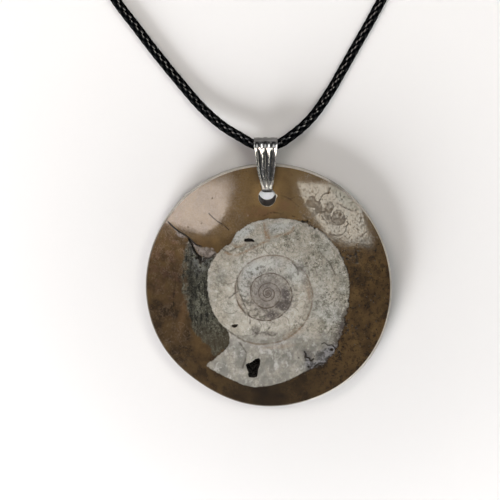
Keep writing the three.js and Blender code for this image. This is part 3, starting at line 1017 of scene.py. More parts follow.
# Colours in the shell
COOL_CALCITE = (0.27, 0.275, 0.25)
WARM_CALCITE = (0.46, 0.425, 0.37)
BLUE_CALCITE = (0.43, 0.445, 0.44)
CHALK = (0.62, 0.61, 0.58)
PALE_PATCH = (0.5, 0.485, 0.44)
PALE_GRAIN = (0.52, 0.505, 0.46)
PALE_MIDDLE = (0.42, 0.39, 0.36)
PALE_WISP = (0.5, 0.49, 0.47)
PALE_INNER = (0.5, 0.48, 0.45)
GREEN_PATCH = (0.17, 0.162, 0.13)
GREEN_GRAIN = (0.12, 0.115, 0.088)
GREEN_FLECK = (0.1, 0.096, 0.074)
GREEN_THREAD = (0.085, 0.08, 0.058)
BROWN_THREAD = (0.1, 0.09, 0.068)
DARK_MIDDLE = (0.085, 0.08, 0.066)
SMOKE = (0.14, 0.135, 0.122)
CRUST = (0.055, 0.045, 0.036)
FIRST_TURNS = (0.14, 0.117, 0.112)
OUTER_SIDE = (0.16, 0.13, 0.105)
INNER_WALL = (0.07, 0.05, 0.036)
OUTER_WALL = (0.11, 0.07, 0.042)
CROSS_WALL = (0.09, 0.075, 0.06)
BROKEN_WALL = (0.06, 0.05, 0.04)
RUST = (0.2, 0.11, 0.05)
# Colours in the open chamber
CRYSTAL_NET = (0.2, 0.196, 0.15)
BLUE_CRYSTALS = (0.2, 0.206, 0.205)
GLINTS = (0.27, 0.27, 0.235)
RUSTY_CRYSTALS = (0.075, 0.045, 0.022)
EARTH = (0.055, 0.044, 0.028)
CRYSTAL_GAPS = (0.009, 0.009, 0.007)
DARK_STREAK = (0.012, 0.011, 0.008)
CRYSTAL_SHADE = (0.018, 0.017, 0.012)


def stone_material(settings):
    m = Material("polished limestone with shell")
    polish, sunk = m.attribute("polish"), m.attribute("sunk")
    jag = (m.noise(1.3, 1, 4, 0.65) - 0.5) * 0.9
    fine_jag = (m.noise(0.4, 2, 3, 0.6) - 0.5) * 0.5
    ragged = jag + fine_jag
    crumbled = m.x.step(9, 14) * m.y.step(4, -4)
    shell_away = m.attribute("shell") + ragged * (0.8 + 1.6 * crumbled)
    shell = shell_away.step(0.1, -0.12)
    chamber = (m.attribute("chamber") + ragged * 1.7).step(0.35, -0.3)
    vein = (m.attribute("vein") + ragged * 1.6).step(0.15, -0.2)
    grey_patch = (m.attribute("grey_patch") + ragged * 2).step(0.6, -0.6) * shell_away.step(0.3, -0.1)

    pink = m.mix(m.noise(0.7, 30, 4, 0.7).step(0.38, 0.62), VEIN_BROWN, VEIN_PINK)
    pink = m.mix(m.noise(0.5, 34, 3).step(0.56, 0.7) * 0.7, pink, VEIN_STAIN)
    slate = m.mix(m.noise(0.9, 31, 3, 0.7).step(0.42, 0.58), SLATE_DARK, SLATE_PALE)
    # a thin rusty line runs round the shell, broken and darkest on its right
    rim_noise = m.noise(1.1, 32, 3, 0.6).step(0.38, 0.62)
    rim = (shell_away - 0.05).ridge(0.16 + 0.2 * rim_noise) * (0.3 + 0.65 * rim_noise)
    rim = rim * (0.35 + 0.65 * m.x.step(2, 9)) * polish.step(0.8, 0.95)
    # darker along the cracks
    crack = m.attribute("crack").step(0.14, 0.0) * (0.5 + 0.5 * m.noise(1.1, 33).step(0.3, 0.5))
    colour = m.layered(
        matrix_colour(m, settings),
        (chamber, chamber_colour(m, settings)),
        (vein, pink),
        (shell, shell_colour(m, settings)),
        (grey_patch * 0.85, slate),
        (rim, SHELL_RIM),
        (crack * 0.85, CRACK_DARKENING),
        # painted shade: pits, cavities and the hole's wall darken with their depth
        (sunk.step(0.04, 0.2), PIT_SHADE),
        (sunk.step(0.25, 0.6), HOLLOW_SHADE),
    )

    # the edge is ground and not polished, the back is only half polished
    grain = m.noise(0.25, 40, 4, 0.7)
    ground = polish.step(0.68, 0.3) * (1 - sunk.step(0.02, 0.14))
    colour = m.mix(ground, colour, edge_colour(m, settings, grain))

    dull_away = m.attribute("dull") + fine_jag * 0.6
    dull = dull_away.step(0.1, -0.1)
    outline = dull_away.ridge(0.11)
    right_side = m.x.step(4, 8) * m.y.step(8, 10)
    rim_band = ((m.x - 15.0) * 0.72 + (m.y - 17.9) * 0.69).ridge(1.3).step(0.0, 0.6)
    rim_band = rim_band * m.y.step(15.2, 16.2) * m.x.step(11.6, 12.8)
    colour = m.layered(
        colour,
        ((dull * 0.25 + outline * 0.3).low(0.45) * right_side, DULL_GREY),
        (rim_band * 0.6, OLIVE_RIM),
    )
    smear = m.noise(0.5, 50, 4, 0.7)
    uneven = 0.14 + 0.24 * m.noise(0.45, 52, 2, 0.7).step(0.4, 0.6)
    grit = m.noise(0.38, 53, 2, 0.7).step(0.5, 0.66)
    roughness = 0.03 + 0.05 * m.noise(0.9, 51, 4, 0.65) + shell * 0.07 + chamber * 0.12 * smear
    roughness = roughness + (dull + rim_band * 0.4) * uneven
    roughness = roughness + grit * (0.1 + 0.3 * right_side) + outline * 0.22 * right_side
    roughness = roughness + sunk.step(0.02, 0.12) * 0.7
    on_edge = polish.step(0.95, 0.5)
    roughness = roughness * (1 - on_edge) + on_edge * (0.62 - 0.28 * polish.step(0.3, 0.7))

    pores = m.noise(0.2, 60, 3, 0.75).step(0.42, 0.3)
    worn_low = m.y.step(12.6, 10.4) * m.x.step(6, 10)
    normal = m.bump(1 - pores, 0.012)
    normal = m.bump(m.noise(0.9, 61, 2), 0.004, normal)
    normal = m.bump(m.noise(0.5, 62, 3, 0.7) * worn_low, 0.009, normal)
    normal = m.bump(m.cells(0.42) * chamber, 0.02, normal)
    normal = m.bump(grain * on_edge, 0.05, normal)
    return m.finish({"Base Color": colour, "Roughness": roughness, "Normal": normal, "IOR": 1.66})


def edge_colour(m, settings, grain):
    """Pale ground stone, stained in places, brown under the lower left rim, and greyer lower down as
    painted shade.
    """
    brown_edge = (m.x * -0.82 + m.y * -0.57).step(5, 11) * m.z.step(4.35, 4.5)
    return m.layered(
        m.mix(grain.step(0.3, 0.75), tuple(0.68 * c for c in settings.edge), settings.edge),
        (m.noise(2.4, 41).step(0.5, 0.75) * 0.35, EDGE_STAIN),
        (brown_edge * 0.9, EDGE_BROWN),
        # painted shade along the lower part of the girdle
        (m.z.step(3.5, 3.0) * 0.55, EDGE_LOW_SHADE),
    )


def matrix_colour(m, settings):
    """Brown limestone with soft clouds, red mottles on the left and fine dark and pale grains."""
    ochre = m.noise(3.0, 4, 3).step(0.42, 0.66) * 0.4 + m.y.step(6, 16) * m.x.step(14, 6) * 0.6
    rusty = m.spot(-1.5, 15.4, 9, 3.2, 6) + m.spot(3.6, 16.6, 5, 3, -20)
    red = m.x.step(-15.5, -18.5) * m.y.step(-6, 2) * m.noise(1.0, 5, 4, 0.65).step(0.45, 0.62)
    veil = m.noise(0.32, 66, 2, 0.7).step(0.42, 0.62) * m.x.step(-3, -6) * m.y.step(9, 12)
    streak = (m.x + 17.2 + (m.y + 6) * -0.22 + (m.noise(1.6, 46) - 0.5) * 1.6).ridge(1.1)
    streak = streak * m.y.step(-12, -7) * m.y.step(12, 6)
    threads = m.threads(1.3, 0.018, 47, 4, 0.65) * m.x.step(-14, -17) * m.noise(2.2, 48).step(0.4, 0.56)
    crumbs = m.noise(1.1, 9, 5, 0.75).step(0.5, 0.58) * m.x.step(7, 13) * m.y.step(11, 7)
    bits = m.noise(0.5, 49, 4, 0.75).step(0.57, 0.64) * (0.25 + 0.75 * m.x.step(6, 14) * m.y.step(12, 8))
    gold = m.noise(0.7, 56, 4, 0.7).step(0.57, 0.68) * m.x.step(9, 15) * m.y.step(12, 9)
    specks = m.noise(0.42, 7, 4, 0.7).step(0.6, 0.68) * (0.5 + 0.5 * m.x.step(6, 14))
    faint = (m.attribute("stone_line") + (m.noise(0.8, 59) - 0.5) * 0.4).ridge(0.16)
    # the low part, the left and the right rim lie in shade
    low = m.y.step(-2, -21) * (1 - abs(m.x) / 30)
    left = m.x.step(-12, -18) * m.y.step(8, 3)
    right = m.x.step(15, 22)
    keep = (1 - 0.84 * low) * (1 - 0.1 * right) * (1 - 0.42 * left)
    return m.layered(
        m.mix(m.noise(4.5, 3, 5, 0.6).step(0.4, 0.62), settings.matrix, settings.matrix_dark),
        (ochre.low(0.9), OCHRE),
        (rusty * m.noise(0.8, 25, 3).step(0.35, 0.6) * 0.55, RUSTY_CLOUD),
        (red * 0.35, RED_CLOUD),
        (veil * 0.3, GREY_VEIL),
        (streak * 0.6, TAN_STREAK),
        (threads * 0.55, PALE_THREADS),
        (crumbs * 0.7, CRUMBS),
        (bits * 0.9, BLACK_BITS),
        (gold * 0.4, GOLD_BITS),
        (specks * 0.8, BLACK_SPECKS),
        (m.noise(0.28, 8, 2).step(0.62, 0.74) * 0.3, PALE_GRAINS),
        (faint * 0.7, FAINT_LINE),
        (1 - keep, LOW_SHADE),
    )


def shell_colour(m, settings):
    """Calcite in the shell: mottled, with the spiral wall, faint cross walls, rusty and dark patches."""
    shake = (m.noise(2.6, 10, 2) - 0.5) * 0.5 + (m.noise(0.9, 11, 2) - 0.5) * 0.22
    across, up = m.x - SPIRAL_X, m.y - SPIRAL_Y
    radius = ((across * across + up * up).math("SQRT") + shake * 0.8).high(0.05)
    angle = m.math("ARCTAN2", up, across)
    turns = (radius.math("LOGARITHM", math.e) - SPIRAL_START) / SPIRAL_GROWTH + angle / (2 * math.pi)
    colour = shell_walls(m, shell_mottling(m, settings, radius), radius, angle, turns)
    speckle = m.noise(0.5, 17, 4, 0.65).step(0.3, 0.56)
    for stain, marks in SHELL_MARKS:
        for x, y, width, height, turn, strength in marks:
            patch = m.spot(x, y, width * 1.4, height * 1.4, turn) * speckle
            colour = m.mix(patch * strength, colour, stain)
    return colour


def shell_mottling(m, settings, radius):
    """The calcite before its walls: clouds, clear spots, and mottling that differs from part to part."""
    whorl = radius.step(9.5, 7.0) * radius.step(4.5, 6.0)
    dark, light = tuple(0.8 * c for c in settings.shell), settings.shell
    colour = m.layered(
        m.mix(m.noise(4.5, 12, 4, 0.6).step(0.38, 0.62), dark, light),
        (m.noise(3.4, 13, 3).step(0.48, 0.62) * 0.5, COOL_CALCITE),
        (whorl * 0.5, WARM_CALCITE),
    )
    for x, y, width, height, turn, strength in SHELL_BRIGHT:
        spot = m.spot(x, y, width * 1.5, height * 1.5, turn)
        colour = m.mix(spot * strength, colour, BLUE_CALCITE)

    # the mottling is strong on the upper right and calm on the left, below and in the inner turns
    below = m.y.step(-8, -11)
    middle = radius.step(7.0, 5.0)
    calm = (whorl * 0.55).high(m.x.step(-3, -8) * 0.5).high(below * 0.45)
    strong = (0.55 + 0.6 * m.noise(4.0, 57, 3).step(0.42, 0.58)) * (1 - calm)
    patches = m.noise(1.7, 14, 4, 0.65, place=warped(m, 0.8, 1.0))
    grains = m.noise(0.8, 55, 2, 0.65, place=warped(m, 0.5, 0.4))
    threads = m.threads(1.1, 0.035, 19, 3, 0.65) * m.noise(2.6, 18, 3).step(0.4, 0.54)
    smoky = m.noise(2.2, 64, 3, 0.6, place=warped(m, 1.2, 1.6), stretch=(1.2, 0.8, 1.0)).step(0.4, 0.62)
    wisps = m.noise(1.1, 65, 3, 0.6, place=warped(m, 0.9, 1.2), stretch=(1.3, 0.7, 1.0)).step(0.5, 0.68)
    broken_edge = m.x.step(11, 14) * m.y.step(-2, -5) * m.attribute("shell").step(-2.6, -0.4)
    crust = broken_edge * m.noise(0.7, 58, 3, 0.7).step(0.44, 0.54)
    return m.layered(
        colour,
        (patches.step(0.52, 0.62) * (0.4 - 0.3 * below), PALE_PATCH),
        (patches.step(0.48, 0.38) * strong * 0.42, GREEN_PATCH),
        (grains.step(0.54, 0.68) * 0.55, PALE_GRAIN),
        (grains.step(0.48, 0.34) * strong * 0.72, GREEN_GRAIN),
        (threads * strong * 0.85, GREEN_THREAD),
        (m.threads(2.2, 0.018, 27, 4, 0.6) * 0.5, BROWN_THREAD),
        (m.noise(0.5, 24, 2, 0.7).step(0.58, 0.68) * strong * 0.85, GREEN_FLECK),
        (m.noise(0.42, 28, 2, 0.7).step(0.62, 0.72) * 0.5, CHALK),
        (below * (0.42 + 0.42 * smoky), SMOKE),
        (below * wisps * 0.5, PALE_WISP),
        (middle * grains.step(0.52, 0.38) * 0.6, DARK_MIDDLE),
        (middle * grains.step(0.54, 0.66) * 0.5, PALE_MIDDLE),
        (crust * 0.8, CRUST),
    )


def shell_walls(m, colour, radius, angle, turns):
    """Greyer first turns, the spiral wall, the cross walls, and the broken and rusty lines."""
    between = turns.math("FRACT")
    away = (0.5 - abs(between - 0.5)) * SPIRAL_GROWTH * radius
    outer_turns = radius.step(6.0, 7.6)
    wall = (1 - away / (0.14 + 0.015 * radius)).high(0).step(0.0, 0.8)
    wall = wall * (0.3 + 0.7 * m.noise(1.2, 15, 3, 0.6).step(0.36, 0.56))
    wall = wall * m.attribute("shell").step(-0.9, -1.7)
    # cross walls bend forward in the middle of each turn
    bow = (between - 0.5) * (between - 0.5) * 1.3
    around = (angle + bow + turns * 0.35) * (CROSS_WALLS / (2 * math.pi))
    cross = (0.5 - abs(around.math("FRACT") - 0.5)) * (2 * math.pi / CROSS_WALLS) * radius
    seen = m.noise(2.0, 16, 2).step(0.44, 0.6) * radius.step(1.4, 2.4) * radius.step(12.5, 9.0)
    waver = (m.noise(0.6, 29, 3) - 0.5) * 0.5
    broken = (m.attribute("dark_line") + waver).ridge(0.26) * m.noise(0.9, 36).step(0.3, 0.5)
    rust = (m.attribute("rust_line") + waver).ridge(0.34) * m.noise(0.9, 37).step(0.3, 0.55)
    # each turn darkens a little towards its outer wall
    return m.layered(
        colour,
        (radius.step(6.0, 1.6) * 0.6, FIRST_TURNS),
        (between.step(0.6, 1.0) * radius.step(16, 6) * 0.25, OUTER_SIDE),
        (between.step(0.3, 0.0) * radius.step(3, 5) * 0.18, PALE_INNER),
        (wall * (0.92 - 0.3 * outer_turns), m.mix(outer_turns, INNER_WALL, OUTER_WALL)),
        ((1 - cross / 0.2).high(0) * seen * 0.6, CROSS_WALL),
        (broken * 0.85, BROKEN_WALL),
        (rust * 0.7, RUST),
    )


def warped(m, size, amount):
    """The place, pushed about by noise so that straight patterns waver."""
    shift = m.add("ShaderNodeTexNoise", inputs={"Vector": m.place, "Scale": 1 / size}).of("Color")
    centred = m.vector("SUBTRACT", shift, (0.5, 0.5, 0.5))
    push = m.add("ShaderNodeVectorMath", {"operation": "SCALE"}, {0: centred, "Scale": amount})
    return m.vector("ADD", m.place, push)


def chamber_colour(m, settings):
    """Dark green-grey crystals with a net of pale lines, bluish at the top and dark along a streak."""
    pale = m.threads(0.5, 0.05, 20, 4, 0.7) * m.noise(1.6, 39, 3).step(0.36, 0.56)
    high = m.y.step(1.5, 6.5) * m.x.step(-16, -14.5)
    gaps = m.noise(0.55, 21, 5, 0.7, stretch=(1.0, 0.4, 1.0)).step(0.49, 0.58)
    rusty = m.x.step(-15.2, -16.6) * m.noise(0.8, 26, 3).step(0.4, 0.6)
    streak = (m.x + 15.2 + (m.noise(2.0, 22) - 0.5) * 1.2).ridge(0.75) * m.y.step(-9, -6)
    dark, light = settings.chamber, tuple(2.0 * c for c in settings.chamber)
    return m.layered(
        m.mix(m.noise(0.6, 38, 4, 0.7).step(0.4, 0.62), dark, light),
        (pale * 0.8, CRYSTAL_NET),
        (high * m.noise(0.5, 44, 3).step(0.42, 0.6) * 0.55, BLUE_CRYSTALS),
        (m.noise(0.26, 45, 3, 0.7).step(0.57, 0.66) * 0.7, GLINTS),
        (gaps * 0.8, CRYSTAL_GAPS),
        (rusty * 0.5, RUSTY_CRYSTALS),
        (streak * 0.7, DARK_STREAK),
        (m.attribute("shell").step(1.1, 0.0) * 0.5, CRYSTAL_SHADE),
        (m.y.step(-5, -11) * 0.55, EARTH),
    )


# ---------------------------------------------------------------- bail


def bail_line():
    """Side view of the strip as (y, z) points: front prong, leg, loop, back leg, back prong."""
    line = [(FRONT_PRONG_Y, FRONT_PRONG_TIP + 0.15 * k) for k in range(7)]
    line += bend_points((FRONT_PRONG_Y, FRONT_BEND - BEND), (FRONT_PRONG_Y, FRONT_BEND),
                        (FRONT_PRONG_Y + BEND, FRONT_BEND - 0.08))
    start_y, start_z = line[-1]
    for k in range(1, 45):
        way = k / 44
        line.append((start_y + LEG_LENGTH * way, start_z - LEG_DROP * way - LEG_CURVE * way**6))
    for k in range(1, 25):
        angle = math.radians(7.3 + 82.7 * k / 24)
        line.append((
            LOOP_TOP_Y + LOOP_TOP_REACH * math.sin(angle), LOOP_Z + LOOP_TOP_RISE * math.cos(angle)
        ))
    bottom = math.radians(-84)
    for k in range(1, 18):
        angle = bottom * k / 17
        line.append((LOOP_Y + LOOP_RADIUS * math.cos(angle), LOOP_Z + LOOP_RADIUS * math.sin(angle)))
    line += straight(line[-1], (BACK_PRONG_Y + BEND, BACK_BEND), 44)
    line += bend_points((BACK_PRONG_Y + BEND, BACK_BEND), (BACK_PRONG_Y, BACK_BEND),
                        (BACK_PRONG_Y, BACK_BEND + BEND))
    line += straight(line[-1], (BACK_PRONG_Y, BACK_PRONG_TIP), 6)
    return line


def straight(start, end, steps):
    return [
        (start[0] + (end[0] - start[0]) * k / steps, start[1] + (end[1] - start[1]) * k / steps)
        for k in range(1, steps + 1)
    ]


def bend_points(start, corner, end, steps=7):
    points = []
    for k in range(1, steps + 1):
        t = k / steps
        points.append(tuple(
            (1 - t) ** 2 * a + 2 * t * (1 - t) * b + t**2 * c for a, b, c in zip(start, corner, end)
        ))
    return points


def make_bail(settings):
    line = bail_line()
    ys, lefts, rights = zip(*BAIL_EDGES)
    sheet, flute = settings.sheet / MM, settings.flute / MM
    outer, inner, grooves = [], [], []
    for i, (y, z) in enumerate(line):
        minor_rib = 0.1 * float(smooth(26, 24, y))
        before, after = line[max(i - 1, 0)], line[min(i + 1, len(line) - 1)]
        along = Vector((after[0] - before[0], after[1] - before[1])).normalized()
        out_y, out_z = -along.y, along.x
        left, right = np.interp(y, ys, lefts), np.interp(y, ys, rights)
        # the ribs run out towards the prongs, which are plain
        ribs = flute * float(smooth(19.7, 21.4, y)) * (0.85 - 0.57 * float(smooth(26.3, 28.1, y)))
        ribs *= 1 - 0.6 * float(smooth(28.5, 29.2, y))
        for j in range(BAIL_ACROSS):
            share = j / (BAIL_ACROSS - 1)
            x = left + (right - left) * share
            wave = math.cos(2 * math.pi * (share - RIB_PITCH) / RIB_PITCH)
            minor = math.cos(4 * math.pi * (share - RIB_PITCH) / RIB_PITCH + 0.6)
            height = ribs * (0.5 * wave + minor_rib * minor)
            grooves.append((0.5 - 0.5 * wave) * float(smooth(19.9, 21.2, y)))
            crown = -0.16 * (2 * share - 1) ** 2
            flare = 0.09 * abs(2 * share - 1) ** 6 * float(smooth(26, 28, y))
            rise = height + crown + flare + 0.05
            edge = min(share, 1 - share) * (right - left)
            half = sheet / 2 * math.sqrt(max(0.0, 1 - max(0.0, 1 - edge / (0.45 * sheet)) ** 2))
            outer.append((x, y + out_y * (rise + half), z + out_z * (rise + half)))
            inner.append((x, y + out_y * (rise - half), z + out_z * (rise - half)))
    shape = Shape()
    rows = len(line)
    shape.add(outer, grid_faces(rows, BAIL_ACROSS, round_columns=False))
    start = len(shape.points)
    shape.add(inner, [])
    inner_faces = grid_faces(rows, BAIL_ACROSS, round_columns=False, start=start)
    shape.faces += [face[::-1] for face in inner_faces]
    for first in (0, (rows - 1) * BAIL_ACROSS):
        for j in range(BAIL_ACROSS - 1):
            a, b = first + j, first + j + 1
            quad = (a, b, start + b, start + a)
            shape.faces.append(quad if first else quad[::-1])
    for column in (0, BAIL_ACROSS - 1):
        for i in range(rows - 1):
            a, b = i * BAIL_ACROSS + column, (i + 1) * BAIL_ACROSS + column
            quad = (a, b, start + b, start + a)
            shape.faces.append(quad[::-1] if column else quad)
    mesh = shape.mesh("fluted_bail")
    groove = mesh.attributes.new("groove", "FLOAT", "POINT")
    groove.data.foreach_set("value", grooves * 2)
    return smoothed(merged(mesh), 1)


def merged(mesh, distance=0.00001):
    """The mesh with points that lie together joined and its faces pointing out."""
    work = bmesh.new()
    work.from_mesh(mesh)
    bmesh.ops.remove_doubles(work, verts=work.verts, dist=distance)
    bmesh.ops.dissolve_degenerate(work, edges=work.edges, dist=distance / 4)
    bmesh.ops.recalc_face_normals(work, faces=work.faces)
    work.to_mesh(mesh)
    work.free()
    mesh.shade_smooth()
    point_outwards(mesh)
    return mesh


def evaluated_mesh(work, name):
    """A plain mesh from an object's modifiers, and the object is removed."""
    graph = bpy.context.evaluated_depsgraph_get()
    mesh = bpy.data.meshes.new_from_object(
        work.evaluated_get(graph), preserve_all_data_layers=True, depsgraph=graph
    )
    mesh.name = name
    bpy.data.objects.remove(work)
    return mesh


def smoothed(mesh, levels):
    """The mesh after that many levels of subdivision."""
    name = mesh.name
    mesh.name = name + "_cage"
    work = in_scene("work", mesh)
    modifier = work.modifiers.new("Subdivision", "SUBSURF")
    modifier.levels = modifier.render_levels = levels
    result = evaluated_mesh(work, name)
    result.shade_smooth()
    return result


TARNISH_AND_DARK_REFLECTION = (0.075, 0.074, 0.072)


def metal_material(name, colour, roughness, worn=0.0):
    """Bright plating. Where it is worn, its grooves are tarnished dark, dark specks lie on it and its end
    by the stone is rougher; a dark band along the top of the loop is a painted dark reflection.
    """
    m = Material(name)
    scratches = m.noise(0.5, 70, 4, 0.7, stretch=(1.0, 0.12, 0.4))
    smudge = m.noise(1.6, 71, 3)
    shade = m.mix(smudge.step(0.4, 0.8) * 0.4, colour, tuple(0.78 * c for c in colour))
    if worn:
        tarnish_and_dark_reflection = m.attribute("groove").step(0.35, 0.85) * 0.9
        tarnish_and_dark_reflection = tarnish_and_dark_reflection.high(m.noise(0.32, 74, 2, 0.7).step(0.5, 0.62) * 0.75)
        # painted dark reflection: the top of the loop is painted dark where it mirrors the shaded floor
        top = m.y.step(28.8, 29.15) * m.y.step(29.8, 29.66) * m.z.step(3.2, 3.6)
        tarnish_and_dark_reflection = tarnish_and_dark_reflection.high(top * 0.95)
        shade = m.mix(tarnish_and_dark_reflection * worn * (0.7 + 0.5 * smudge), shade, TARNISH_AND_DARK_REFLECTION)
    rough = roughness * 0.7 + scratches * 0.1 + smudge * 0.05
    if worn:
        rough = rough + m.y.step(22.5, 20.5) * 0.2
    normal = m.bump(scratches, 0.006)
    normal = m.bump(m.noise(0.7, 72, 2), 0.012, normal)
    normal = m.bump(m.noise(0.34, 73, 3, 0.7), 0.012 if worn else 0.004, normal)
    return m.finish({"Base Color": shade, "Roughness": rough, "Normal": normal, "Metallic": 1.0})


# ---------------------------------------------------------------- cord


def coil_turns(start_angle, direction, degrees, height):
    """Points of one strand's turns, from where it comes to the coil to where it leaves it inside."""
    outer = COIL_MIDDLE + COIL_PITCH / 2
    inner = COIL_MIDDLE - COIL_PITCH / 2
    count = round(COIL_POINTS * degrees / 360)
    points = []
    for i in range(1, count + 1):
        turned = degrees * i / count
        radius = outer + (COIL_ENTRY - outer) * (1 - float(smooth(0, JOINS_BY, turned)))
        radius += (inner - outer) * float(smooth(*STEPS_IN, turned))
        angle = math.radians(start_angle + direction * turned)
        from_tie = math.atan2(math.sin(angle), math.cos(angle))
        rise = TIE_RISE * math.exp(-((from_tie / TIE_SPREAD) ** 2))
        x, y = COIL_X + radius * math.cos(angle), COIL_Y + radius * math.sin(angle)
        points.append((x, y, height + rise))
    return points


def tail(side, heights):
    """The last bend of a strand, from the coil's inner turn to inside the mouth of its end piece."""
    points = []
    for i, height in enumerate(heights):
        angle = math.radians(176 - i * 86 / (len(heights) - 1))
        x = COIL_X + TAIL_CENTRE_X + TAIL_RADIUS * math.cos(angle)
        y = COIL_Y + side * (TAIL_CENTRE_Y + TAIL_RADIUS * math.sin(angle))
        points.append((x, y, height))
    points.append((COIL_X + END_MOUTH_X + 0.9, COIL_Y + side * END_Y, END_Z))
    return points


def cord_points():
    left = coil_turns(110, -1, 630, LOWER_LAYER) + tail(1, (1.08, 1.08, 1.12, 1.2, 1.35, 1.46, 1.52))
    right = coil_turns(70, 1, 450, UPPER_LAYER) + tail(-1, (3.18, 3.16, 3.0, 2.62, 2.15, 1.72, 1.52))
    return left[::-1] + list(CORD_ROUTE) + right


def braid_tree(name):
    """Geometry Nodes that turn a line into a round braid of two sets of strands, over and under."""
    tree = bpy.data.node_groups.new(name, "GeometryNodeTree")
    tree.is_modifier = True
    tree.interface.new_socket("Geometry", in_out="INPUT", socket_type="NodeSocketGeometry")
    inputs = {}
    for label, kind in (
        ("Radius", "NodeSocketFloat"), ("Relief", "NodeSocketFloat"), ("Strand step", "NodeSocketFloat"),
        ("Strands", "NodeSocketInt"), ("Sides", "NodeSocketInt"), ("Point spacing", "NodeSocketFloat"),
        ("Material", "NodeSocketMaterial"),
    ):
        inputs[label] = tree.interface.new_socket(label, in_out="INPUT", socket_type=kind).identifier
    tree.interface.new_socket("Geometry", in_out="OUTPUT", socket_type="NodeSocketGeometry")
    g = Graph(tree)
    given = g.add("NodeGroupInput")

    line = g.add("GeometryNodeMeshToCurve", inputs={"Mesh": given})
    line = g.add("GeometryNodeResampleCurve", {"mode": "LENGTH"},
                 {"Curve": line, "Length": given.of("Point spacing")})
    along = g.add("GeometryNodeSplineParameter").of("Length")
    middle = g.add("GeometryNodeInputPosition")
    line = captured(g, line, along=("FLOAT", along), middle=("VECTOR", middle))
    ring = g.add("GeometryNodeCurvePrimitiveCircle",
                 inputs={"Resolution": given.of("Sides"), "Radius": given.of("Radius")})
    around = g.add("GeometryNodeSplineParameter").of("Factor")
    ring = captured(g, ring, around=("FLOAT", around))
    tube = g.add("GeometryNodeCurveToMesh",
                 inputs={"Curve": line, "Profile Curve": ring, "Fill Caps": True})

    steps = line.of("along") / given.of("Strand step")
    turn = ring.of("around") * given.of("Strands")
    right, left = steps + turn, steps - turn
    height = strand(right, left, 1).high(strand(left, right, -1))
    from_middle = g.vector("SUBTRACT", g.add("GeometryNodeInputPosition"), line.of("middle"))
    outwards = g.vector("NORMALIZE", from_middle)
    push = g.add("ShaderNodeVectorMath", {"operation": "SCALE"},
                 {0: outwards, "Scale": (height - 1) * given.of("Relief")})
    tube = g.add("GeometryNodeSetPosition", inputs={"Geometry": tube, "Offset": push})
    upward = g.add("ShaderNodeSeparateXYZ", inputs={0: outwards}).of("Z")
    for label, value in (
        ("braid_right", right), ("braid_left", left), ("braid_height", height), ("braid_up", upward),
    ):
        tube = g.add("GeometryNodeStoreNamedAttribute", {"data_type": "FLOAT", "domain": "POINT"},
                     {"Geometry": tube, "Name": label, "Value": value})
    tube = g.add("GeometryNodeRealizeInstances", inputs={0: tube})
    tube = g.add("GeometryNodeSetMaterial", inputs={"Geometry": tube, "Material": given.of("Material")})
    g.add("NodeGroupOutput", inputs={0: tube})
    return tree, inputs


def captured(g, geometry, **values):
    """The geometry with values kept on its points, which are outputs of the same names."""
    node = g.tree.nodes.new("GeometryNodeCaptureAttribute")
    node.domain = "POINT"
    for name, (kind, _) in values.items():
        node.capture_items.new(kind, name)
    g.put(node.inputs[0], geometry)
    for name, (_, value) in values.items():
        g.put(node.inputs[name], value)
    return Socket(g, node.outputs[0])


def strand(own, other, sign):
    """Height of one set of strands, from about 0 in the gaps to 1 on top where they cross over."""
    number = own.math("ROUND")
    over = (number * math.pi).math("COSINE") * (other * math.pi).math("COSINE") * sign
    off = (own - number) * 2
    return 0.62 + over * 0.3 - off * off * 0.75


def make_cord(settings, material):
    line = centripetal(cord_points(), 0.6)
    source = bpy.data.meshes.new("cord_line")
    points = [point * MM for point in line]
    source.from_pydata(points, [(i, i + 1) for i in range(len(points) - 1)], [])
    work = in_scene("cord_line", source)
    tree, inputs = braid_tree("round braid")
    modifier = work.modifiers.new("Braid", "NODES")
    modifier.node_group = tree
    for label, value in (
        ("Radius", settings.diameter / 2), ("Relief", BRAID_RELIEF * MM),
        ("Strand step", settings.strand_step), ("Strands", settings.strands),
        ("Sides", BRAID_SIDES), ("Point spacing", BRAID_SPACING * MM), ("Material", material),
    ):
        modifier[inputs[label]] = value
    mesh = evaluated_mesh(work, "braided_cord")
    mesh.shade_smooth()
    point_outwards(mesh)
    return mesh, points


FIBRES = 11  # in each strand
WORN_FIBRE = (0.003, 0.0034, 0.004)


def cord_material(settings):
    m = Material("waxed black braid")
    right, left = m.attribute("braid_right"), m.attribute("braid_left")
    height = m.attribute("braid_height")
    fibre_right, fibre_left = (((way * FIBRES).math("FRACT") - 0.5) * 2 for way in (right, left))
    fibres = 1 - (abs(fibre_right) + abs(fibre_left)) * 0.5
    worn = m.noise(1.4, 80, 3)
    colour = m.mix(height.step(0.4, 1.0) * worn.step(0.4, 0.8) * 0.4, settings.colour, WORN_FIBRE)
    roughness = 0.1 + 0.06 * worn + (1 - height.step(0.2, 0.8)) * 0.25
    normal = m.bump(fibres, 0.012)
    normal = m.bump(m.noise(0.12, 81, 2), 0.008, normal)
    shine = m.attribute("braid_up").step(0.45, 0.9) * height.step(0.5, 0.8)
    return m.finish({
        "Base Color": colour, "Roughness": roughness, "Normal": normal, "Specular IOR Level": 0.0,
        "Coat Weight": shine, "Coat Roughness": 0.05, "Coat IOR": 1.8, "Coat Tint": (0.84, 0.92, 1.0),
    })


# ---------------------------------------------------------------- end pieces and tie


